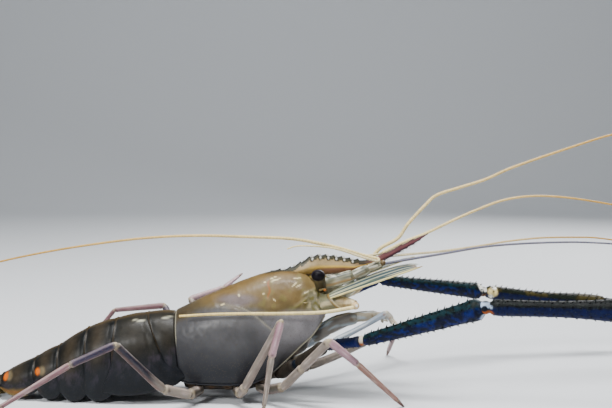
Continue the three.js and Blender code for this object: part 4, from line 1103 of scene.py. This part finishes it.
def clawArticle(shape, stops, paintAt, chance, rows=greatClaws["rows"], flare=0.1, startPatches=(), endPatches=()):
    def paint(done, left, around):
        colour = paintAt(done, around).lerp(clawPaint["joint"], 0.85 * rise(1.0, 0.2, min(done, left)))
        colour = withPatches(colour, startPatches, done, around, 3.4)
        return withPatches(colour, endPatches, left, around, 4.0)
    spacing, step = 0.6, greatClaws["rowStep"]
    stations, frames = addArticle(shape, stops, 40, paint, flat=1.0, spacing=spacing, neck=0.6, flare=flare)
    length = spacing * len(stations)

    def wallAt(i, turn, sink):
        # a point on the wall, the way out of it and the way along
        centre, across, up, way = frames[i]
        wide, high = circleAt(turn)
        out = across * wide + up * high
        return centre + out * (stations[i][3] - sink), out, way
    for row, (turn, height) in enumerate(rows):
        for number in range(int((length - 4) / step)):
            i = int((2.5 + step * (number + 0.5 * (row % 2)) + chance.uniform(-0.3, 0.3)) / spacing)
            if i < len(frames) - 3:
                foot, out, way = wallAt(i, turn + chance.uniform(-0.012, 0.012), 0.25)
                tall = height * chance.uniform(0.8, 1.1) + 0.25
                addSpike(shape, foot, foot + out * tall + way * 0.75 * tall, 0.42, clawPaint["spine"], 6)
    for _ in range(int(length * 7) if rows else 0):
        # low tubercles between the spines
        i = chance.randrange(3, len(frames) - 3)
        turn = chance.random()
        foot, out, way = wallAt(i, turn, 0.2)
        addSpike(shape, foot, foot + out * chance.uniform(0.32, 0.48) + way * 0.15, 0.3,
                 paintAt(spacing * i, turn).lerp(clawPaint["black"], 0.35), 5, 0.4)


def stopsBetween(start, end, profile, girth):
    return [[*start.lerp(end, share), radius * girth] for share, radius in profile]


for seed, (word, side) in enumerate(sides.items(), 31):
    claw = greatClaws[word]
    chance = random.Random(seed)
    elbow, wrist = Vector(claw["arm"][3][:3]), Vector(claw["wrist"])
    knuckle, tip = Vector(claw["knuckle"]), Vector(claw["tip"])

    shape = newShape()
    for number in range(3):
        start, end = claw["arm"][number:number + 2]
        last = number == 2
        if last:  # slim at the elbow
            start, end = [*start[:3], start[3] * 0.8], [*end[:3], end[3] * 0.84]

        # painted shade: dark brown on the arm where it lies under the carapace, deep blue towards the elbow
        def paintArm(done, around):
            blue = clawPaint["navy"].lerp(clawPaint["blue"], 0.5 * near(0.6, 0.2, around))
            return clawPaint["flesh"].lerp(blue, rise(2, 9, done) if last else 0.0)
        clawArticle(shape, [start, end], paintArm, chance, ((0.25, 0.7), (0.75, 0.5)) if last else ())
        addJoint(shape, end, 0.8, clawPaint["joint"])
    finishPiece("clawArm_" + word, shape, clawChitin, "claw_arm_" + word)

    shape = newShape()
    along = (wrist - elbow).normalized()
    stops = stopsBetween(elbow + along * 0.6, wrist - along * 0.8, greatClaws["forearm"], claw["girth"]["forearm"])
    clawArticle(shape, stops, paintClaw(seed, "teal"), chance, endPatches=claw["endPatches"])
    # the pale crescent of the elbow, orange at its lower end, and the hinge knobs of the wrist
    crescent = elbow + along * 0.2 + Vector((0, side * 0.6, 0.4))
    for vert in addBall(shape, crescent, (1.3, 2.1, 2.3), clawPaint["crescent"], None, 20, 12):
        low = rise(0.2, -1.4, vert.co.z - crescent.z)
        paintNew(shape, [vert], clawPaint["crescent"].lerp(clawPaint["hook"], low))
    for face in (-1, 1):
        addBall(shape, wrist - along * 0.9 + Vector((0, face * 3.1, 0.2)), (1.3, 0.7, 1.2), clawPaint["joint"],
                None, 18, 12)
    finishPiece("clawForearm_" + word, shape, clawChitin, "claw_forearm_" + word)

    way = (knuckle - wrist).normalized()
    up = (Vector((0, 0, 1)) - way * way.z).normalized()

    def fingerStops(lift):
        start, end = knuckle + up * lift, tip + up * lift * greatClaws["tipSpread"]
        stops = []
        for share, radius in greatClaws["finger"]:
            bow = math.sin(math.pi * max(0.0, share)) * lift * greatClaws["bow"]
            hook = -0.15 * lift * rise(0.8, 1.0, share)
            stops.append([*(start + (end - start) * share + up * (bow + hook)), radius])
        return stops

    shape = newShape()
    stops = stopsBetween(wrist + way * 0.6, knuckle + way * 1.0, greatClaws["palm"], claw["girth"]["palm"])
    clawArticle(shape, stops, paintClaw(seed + 7, "green" if word == "left" else "black"), chance,
                greatClaws["rows"][:4] + ((0.75, 0.7), (0.6, 0.5)), 0.02, claw["startPatches"])
    # bare skin above and a horny stop below, in the hinge of the wrist
    above, below = claw["hinge"]
    for vert in addBall(shape, wrist + way * 0.2, (2.7, 2.9, 2.7), clawPaint["joint"], None, 24, 16):
        level = (vert.co.z - wrist.z) / 2.7
        colour = clawPaint["joint"].lerp(clawPaint[above], rise(-0.05, 0.2, level) * rise(0.95, 0.7, level))
        paintNew(shape, [vert], colour.lerp(clawPaint[below], rise(-0.15, -0.4, level)))
    fingerStations = stationsAlong(fingerStops(-greatClaws["spread"]), 0.6)
    horn = paintClaw(seed + 9, "black")
    fingerFrames = addTube(shape, fingerStations, 24, lambda s, a: horn(s * 36, a).lerp(
        clawPaint["ochre"], 0.6 * rise(0.85, 1.0, s)))
    for share, size in ((0.1, 1.0), (0.2, 0.8), (0.3, 0.5)):
        centre, across, upward, along = fingerFrames[int(share * (len(fingerFrames) - 1))]
        addSpike(shape, centre + up * 1.2, centre + up * (1.8 + size), 0.6 * size, clawPaint["ochre"], 8, 0.3)
    finishPiece("clawPalm_" + word, shape, clawChitin, "claw_palm_" + word)

    shape = newShape()
    upperStations = stationsAlong(fingerStops(greatClaws["spread"]), 0.6)
    upperFrames = addTube(shape, upperStations, 24, lambda s, a: clawPaint["velvet"].lerp(
        clawPaint["ochre"], 0.7 * rise(0.86, 1.0, s)))
    addHairs(shape, upperFrames, upperStations, 420, 0.8, 0.07, clawPaint["velvet"], chance, 1.0)
    finishPiece("clawFinger_" + word, shape, clawChitin, "claw_finger_" + word)
print("great claws")


# First antennae: a three-jointed stalk, an inner feeler, and an outer one with a short branch at its root
antennules = {
    "right": {
        "stalk": [[70.6, -4.8, 55.4, 3.1], [84.4, -4.8, 59.2, 2.9], [91.4, -6.0, 62.7, 2.2], [97.3, -7.4, 65.2, 1.8]],
        "inner": [[98.9, -8.6, 65.5], [110, -12, 67.9], [124, -14, 70.5], [142, -17, 74.0], [158, -20, 75.9],
                  [177, -25, 77.2], [189, -28, 77.4], [204, -31, 76.6], [232, -36, 73.6]],
        "outer": [[95.6, -8.4, 67.4], [89, -9.6, 69.2], [77, -11.5, 73.0], [65, -13, 75.9], [53, -14.5, 77.8],
                  [35, -16, 78.7], [12, -17, 79.4], [-11, -18, 78.5], [-34, -19, 75.9], [-58, -20, 72.1],
                  [-81, -21, 67.2], [-104, -22, 60.6]],
        "branch": [[95.6, -8.4, 67.4], [94.6, -10.6, 66.8], [87, -13, 69.1], [79.5, -14.5, 71.8], [72.5, -16, 73.7],
                   [64, -17, 74.6], [57, -17.5, 74.6], [52.7, -18, 73.3]]},
    "left": {
        "stalk": [[70.6, 4.8, 55.4, 3.1], [84.4, 4.8, 59.4, 2.9], [91.4, 6.0, 63.1, 2.2], [97.3, 7.4, 65.8, 1.8]],
        "inner": [[98.8, 8.8, 66.4], [112, 10.4, 67.5], [127.5, 13, 68.6], [147.6, 15, 71.2], [161, 17, 73.1],
                  [178, 20, 74.5], [196, 22, 74.6], [207, 24, 74.1], [222, 27, 71.8], [240, 30, 68.4]],
        "outer": [[98.6, 7.4, 68.6], [109, 9, 73.6], [121, 11, 78.2], [134, 12, 84.3], [146, 13, 89.4],
                  [158, 14, 93.6], [172, 15, 95.6], [190, 16, 94.8], [214, 18, 91.0], [236, 20, 86.0]],
        "branch": [[98.6, 7.4, 68.6], [96.4, 10.8, 67.4], [88.4, 12.5, 66.8], [80.6, 14, 68.9], [72, 15, 70.9],
                   [64, 16, 72.4]]},
}
whipPaint = colours(cream="#e4d298", gold="#b88c34", ring="#8c6424", violet="#5a5e70", brown="#7c5424",
                    pale="#d8cca4", straw="#dcc27a")
stalkPaint = colours(joint="#8f8c76", pivot="#5c5840", clear="#928f7c", streak="#e8e4cc", under="#48544e",
                     knob="#5e4a28", olive="#7c784c", teal="#243a38", warm="#c89a5c")


def addWhip(shape, points, rootRadius, tipRadius, rootColour, tipColour, ringMm=1.5):
    # ringed all along, thickest at the root
    spacing = 0.5
    stations = stationsAlong([[*point, 0.0] for point in points], spacing)
    last = len(stations) - 1

    def ringAt(i):
        return abs(math.sin(math.pi * i * spacing / ringMm))
    for i, station in enumerate(stations):
        station[3] = (rootRadius + (tipRadius - rootRadius) * i / last) * (0.93 + 0.07 * ringAt(i) ** 0.5)

    def paint(share, around):
        return layered(rootColour.lerp(tipColour, rise(0.0, 0.9, share)), whipPaint,
                       ("ring", 0.2 * rise(0.5, 0.1, ringAt(share * last))),
                       ("brown", 0.35 * near(0.75, 0.25, around)))
    addTube(shape, stations, 10, paint)


def paintStalk(seed, olive):
    def paint(done, left, around):
        # fine lengthwise streaks over clear flesh, with dark and pale clouds along the top
        streak = 0.5 + 0.5 * noiseAt(around * 18, done * 0.05, seed)
        cloud = noiseAt(around * 7, done * 0.4, seed + 3)
        top = near(0.27, 0.2, around)
        colour = layered(stalkPaint["clear"], stalkPaint, ("olive", olive * rise(-0.3, 0.3, cloud)),
                         ("under", 0.8 * rise(0.46, 0.36, streak)), ("streak", 0.95 * rise(0.53, 0.62, streak)),
                         ("teal", 0.85 * top * rise(0.05, 0.25, cloud) * rise(0.0, 2.0, done)),
                         ("streak", 0.8 * top * rise(-0.15, -0.3, cloud)),
                         ("warm", 1.4 * olive * near(0.55, 0.06, around % 1.0)))
        return jointPaint(colour, stalkPaint, done, left, 1.6, around)
    return paint


for seed, word in enumerate(sides, 51):
    parts = antennules[word]
    shape = newShape()
    for number in range(3):
        addArticle(shape, parts["stalk"][number:number + 2], 28, paintStalk(seed + number, 0.15 if number else 0.5),
                   neck=0.9, flare=0.04)
    addBall(shape, Vector(parts["stalk"][-1][:3]) + Vector((0.2, 0, 0.3)), (1.5, 1.9, 1.4), stalkPaint["knob"],
            None, 20, 12)
    finishPiece("antennuleStalk_" + word, shape, finChitin, "antennule_stalk_" + word)
    shape = newShape()
    root, tip = ("pale", "gold") if word == "left" else ("violet", "violet")
    addWhip(shape, parts["inner"], 0.66, 0.34, whipPaint[root], whipPaint[tip])
    finishPiece("antennuleInner_" + word, shape, whipChitin, "antennule_inner_" + word)
    shape = newShape()
    addWhip(shape, parts["outer"], 0.85, 0.36, whipPaint["cream"], whipPaint["gold"])
    addWhip(shape, parts["branch"], 0.6, 0.3, whipPaint["pale"], whipPaint["cream"])
    finishPiece("antennuleOuter_" + word, shape, whipChitin, "antennule_outer_" + word)

# Second antennae: a plated base, a stout stalk and a long feeler; the right one is broken short, on the flank
antennae = {
    "right": {"stalk": [[69.4, -7.8, 46.6, 4.0], [73.0, -9.4, 47.2, 4.0], [76.6, -11.2, 47.5, 3.4],
                        [80.6, -13.6, 47.6, 2.5], [84.2, -16.0, 47.2, 2.0]],
              "knob": (84.2, -17.6, 46.9),
              "feeler": [[83.6, -18.6, 46.4], [74, -18.6, 44.6], [65, -18.9, 43.8], [50, -19.6, 43.6],
                         [35, -19.8, 43.6], [18, -18.2, 43.0], [2.6, -15.2, 41.6]], "root": 0.95, "tip": 0.6},
    "left": {"stalk": [[69.4, 7.8, 46.6, 4.0], [73.0, 9.4, 47.2, 4.0], [77.0, 11.2, 47.6, 3.4],
                       [82.2, 14.4, 48.2, 2.6], [87.0, 17.6, 49.6, 2.1]],
             "knob": (87.8, 18.2, 50.2),
             "feeler": [[88.2, 18.6, 50.8], [91.0, 20.0, 57.0], [93.6, 19.6, 63.4], [98.4, 19, 69.4], [107, 18, 74.6],
                        [112, 18, 81.8], [120.4, 18, 91.0], [126, 18, 95.9], [136.4, 18, 99.4], [150, 19, 103.6],
                        [164.4, 20, 109.8], [193.4, 22, 119.6], [214, 24, 125.8], [242, 27, 131.6],
                        [265.8, 30, 134.3]],
             "root": 0.98, "tip": 0.4},
}
antennaPaint = colours(pivot="#2a2014", clear="#a8946c", streak="#dccda4", under="#86704a", plate="#7c7a5c",
                       rim="#a07c34", knob="#c8ac80", boss="#eeeae0")
for seed, (word, side) in enumerate(sides.items(), 61):
    parts = antennae[word]
    shape = newShape()
    stations = stationsAlong(parts["stalk"], 0.35)

    def paintBase(share, around):
        # one smooth base; slanting seams with a gold-brown edge part its plates, and a pale line just ahead of each
        # seam is a painted highlight
        p = antennaPaint
        x = stations[round(share * (len(stations) - 1))][0]
        streak = 0.5 + 0.5 * noiseAt(around * 9, x * 0.15, seed)
        colour = layered(p["plate"], p, ("clear", rise(75, 79, x)), ("streak", 0.75 * rise(0.5, 0.7, streak)),
                         ("under", 0.5 * near(0.75, 0.25, around)))
        for seam, strength in ((75.4 - 2.88 * circleAt(around)[1], 1.0), (80.4, 0.4)):
            # painted highlight: the pale line just ahead of each seam
            colour = layered(colour, p, ("streak", 0.8 * strength * near(seam + 0.9, 0.6, x)),
                             ("rim", 0.9 * strength * near(seam, 0.7, x)),
                             ("pivot", 0.8 * strength * near(seam - 0.5, 0.4, x)))
        return colour

    addTube(shape, stations, 40, paintBase)
    knob = Vector(parts["knob"])
    for vert in addBall(shape, knob, (1.9, 1.9, 1.8), antennaPaint["knob"], None, 32, 20):
        # a painted highlight: a small white spot on the outer face
        boss = 1.0 - rise(0.4, 0.9, (vert.co - knob - Vector((0.6, side * 1.8, 0.3))).length)
        paintNew(shape, [vert], antennaPaint["knob"].lerp(antennaPaint["boss"], boss))
    finishPiece("antennaStalk_" + word, shape, shellChitin, "antenna_stalk_" + word)
    shape = newShape()
    addWhip(shape, parts["feeler"], parts["root"], parts["tip"], whipPaint["cream"],
            whipPaint["straw" if word == "right" else "gold"], 1.2)
    finishPiece("antennaFeeler_" + word, shape, whipChitin, "antenna_feeler_" + word)

# Antennal scales: long blades with a stiff outer edge that ends in a spine, fringed along the inner edge
scale = {
    "origin": (77.5, 15.6, 51.4), "runs": {"right": (38.0, -0.6, 13.4), "left": (38.0, -0.2, 14.0)},
    "across": (0, -0.97, 0.24), "thickness": 0.75, "rings": 120, "fringe": 90, "seed": 62,
    "widths": [[-5, 6.2], [-2.4, 7.8], [2, 9.2], [11, 10.8], [20, 11.5], [29, 10.7], [34, 8.4], [36.8, 5.2],
               [37.7, 2.4]],
    "outerEdge": ((-5, 0.42), (0, 0.5), (12, 0.46), (28, 0.42), (37, 0.38), (40.2, 0.12)),
}
scalePaint = colours(blade="#2e444c", vein="#c4c2a2", margin="#d6c888", spine="#a08848", fringe="#aeb0a4",
                     tip="#9a6c5c", green="#7c8248")
for word, side in sides.items():
    run = Vector(scale["runs"][word])
    run.y *= -side
    run.normalize()
    across = Vector(scale["across"])
    across.y *= side
    normal = run.cross(across).normalized()
    across = (across - run * across.dot(run)).normalized()
    if normal.z < 0:
        normal = -normal
    origin = Vector(scale["origin"])
    origin.y *= side
    shape = newShape()

    def scaleRing(i):
        start, end = scale["widths"][0][0], scale["widths"][-1][0]
        x = start + (end - start) * (1 - (1 - i / scale["rings"]) ** 1.4)
        wide = rowAt(scale["widths"], x)[1]

        def corner(share):
            back, up = circleAt(share)
            y = 0.5 - 0.5 * back
            thick = scale["thickness"] * (0.3 + 0.6 * rise(0.2, 0.0, y) + 0.35 * near(0.3, 0.07, y))
            dome = 0.9 * math.sin(math.pi * y) * wide / 11.5
            point = origin + run * x + across * (y * wide) + normal * (0.4 + dome + 0.5 * thick * up)
            vein = 0.5 + 0.5 * noiseAt(x * 0.025, y * 11, 1)
            return point, layered(scalePaint["blade"], scalePaint,
                                  ("green", 0.8 * rise(24, 6, x) * rise(0.46, 0.54, vein)),
                                  ("vein", 0.95 * rise(0.57, 0.62, vein)),
                                  ("vein", 0.8 * max(near(0.3, 0.05, y), near(0.55, 0.04, y))),
                                  ("margin", rise(0.07, 0.03, y)), ("tip", 0.4 * rise(34, 38, x)))
        return corner
    addSkin(shape, range(scale["rings"] + 1), 88, scaleRing)
    edge = [[*(origin + run * x + normal * 0.4), radius] for x, radius in scale["outerEdge"]]
    addTube(shape, stationsAlong(edge, 0.8), 12,
            lambda s, a: scalePaint["margin"].lerp(scalePaint["spine"], rise(0.85, 1.0, s)))
    chance = random.Random(scale["seed"])
    for i in range(scale["fringe"]):
        x = 7 + 30.4 * (1 - (1 - i / scale["fringe"]) ** 1.4)
        foot = origin + run * x + across * rowAt(scale["widths"], x)[1] * 0.97 + normal * 0.4
        out = (run * (0.9 + chance.uniform(-0.1, 0.1)) + across * rise(40, 10, x)).normalized()
        addSpike(shape, foot, foot + out * (1.2 + 1.0 * rise(8, 26, x)), 0.09, scalePaint["fringe"], 3)
    finishPiece("antennalScale_" + word, shape, finChitin, "scale_" + word)
print("antennae and scales")


# Camera, floor and light
view = {"at": (61.4, -475.0, 126.0), "tilt": 86.0, "lensMm": 58.82, "sensorMm": 36.0}
camera = bpy.data.objects.new("camera", bpy.data.cameras.new("camera"))
camera.data.sensor_width = view["sensorMm"]
camera.data.lens = view["lensMm"]
camera.data.clip_end = 30.0
camera.location = toFrame @ Vector(view["at"])
camera.rotation_euler = (math.radians(view["tilt"]), 0.0, 0.0)
bpy.context.scene.collection.objects.link(camera)
bpy.context.scene.camera = camera

# a sheet of studio paper, from its front edge on the floor to its top behind, in metres
stage = {"front": -1.4, "back": 1.1, "half": 3.2, "curve": 0.5, "height": 2.2, "colour": "#d9dcdf"}
shape = bmesh.new()
bmesh.ops.create_grid(shape, x_segments=1, y_segments=1, size=1.0)
bmesh.ops.delete(shape, geom=list(shape.faces), context="FACES_ONLY")
bmesh.ops.delete(shape, geom=[vert for vert in shape.verts if vert.co.y > 0], context="VERTS")
for vert, x in zip(sorted(shape.verts, key=lambda vert: vert.co.x), (-stage["half"], stage["half"])):
    vert.co = (x, stage["front"], 0.0)
edges = list(shape.edges)
bend = [math.radians(angle) for angle in range(6, 91, 6)]
stops = [(stage["back"], 0.0)]
stops += [(stage["back"] + stage["curve"] * math.sin(a), stage["curve"] * (1 - math.cos(a))) for a in bend]
stops += [(stage["back"] + stage["curve"], stage["height"])]
for y, z in stops:
    grown = bmesh.ops.extrude_edge_only(shape, edges=edges)["geom"]
    fresh = [part for part in grown if isinstance(part, bmesh.types.BMVert)]
    edges = [part for part in grown if isinstance(part, bmesh.types.BMEdge) and set(part.verts) == set(fresh)]
    for vert in fresh:
        vert.co.y, vert.co.z = y, z
bmesh.ops.recalc_face_normals(shape, faces=shape.faces)
mesh = bpy.data.meshes.new("studioFloor")
shape.to_mesh(mesh)
shape.free()
mesh.shade_smooth()
floor = bpy.data.objects.new("studioFloor", mesh)
bpy.context.scene.collection.objects.link(floor)
paper = bpy.data.materials.new("mattPaper")  # seamless studio paper, without gloss
paper.use_nodes = True
paperShader = paper.node_tree.nodes["Principled BSDF"]
paperShader.inputs["Base Color"].default_value = (*linearColour(stage["colour"]), 1.0)
paperShader.inputs["Roughness"].default_value = 0.85
mesh.materials.append(paper)

world = bpy.data.worlds.new("softWorld")
world.use_nodes = True
world.node_tree.nodes["Background"].inputs["Color"].default_value = (*linearColour("#dfe6ee"), 1.0)
world.node_tree.nodes["Background"].inputs["Strength"].default_value = 0.27
bpy.context.scene.world = world

# place, aim, size in metres and power in watts of each lamp
lamps = {
    "overheadLamp": {"at": (-0.05, -0.15, 0.85), "aim": (0.0, 0.0, 0.04), "size": (0.7, 0.14), "power": 14.0},
    "keyLamp": {"at": (-0.55, -0.75, 0.6), "aim": (0.0, 0.0, 0.04), "size": (0.24, 0.2), "power": 8.0},
    "rimLamp": {"at": (0.4, 0.75, 0.5), "aim": (0.0, 0.0, 0.05), "size": (0.6, 0.12), "power": 6.0},
}
for name, lamp in lamps.items():
    light = bpy.data.lights.new(name, "AREA")
    light.shape = "RECTANGLE"
    light.size, light.size_y = lamp["size"]
    light.energy = lamp["power"]
    thing = bpy.data.objects.new(name, light)
    thing.location = lamp["at"]
    thing.rotation_euler = (Vector(lamp["aim"]) - Vector(lamp["at"])).to_track_quat("-Z", "Y").to_euler()
    bpy.context.scene.collection.objects.link(thing)
print("camera, floor and lamps")
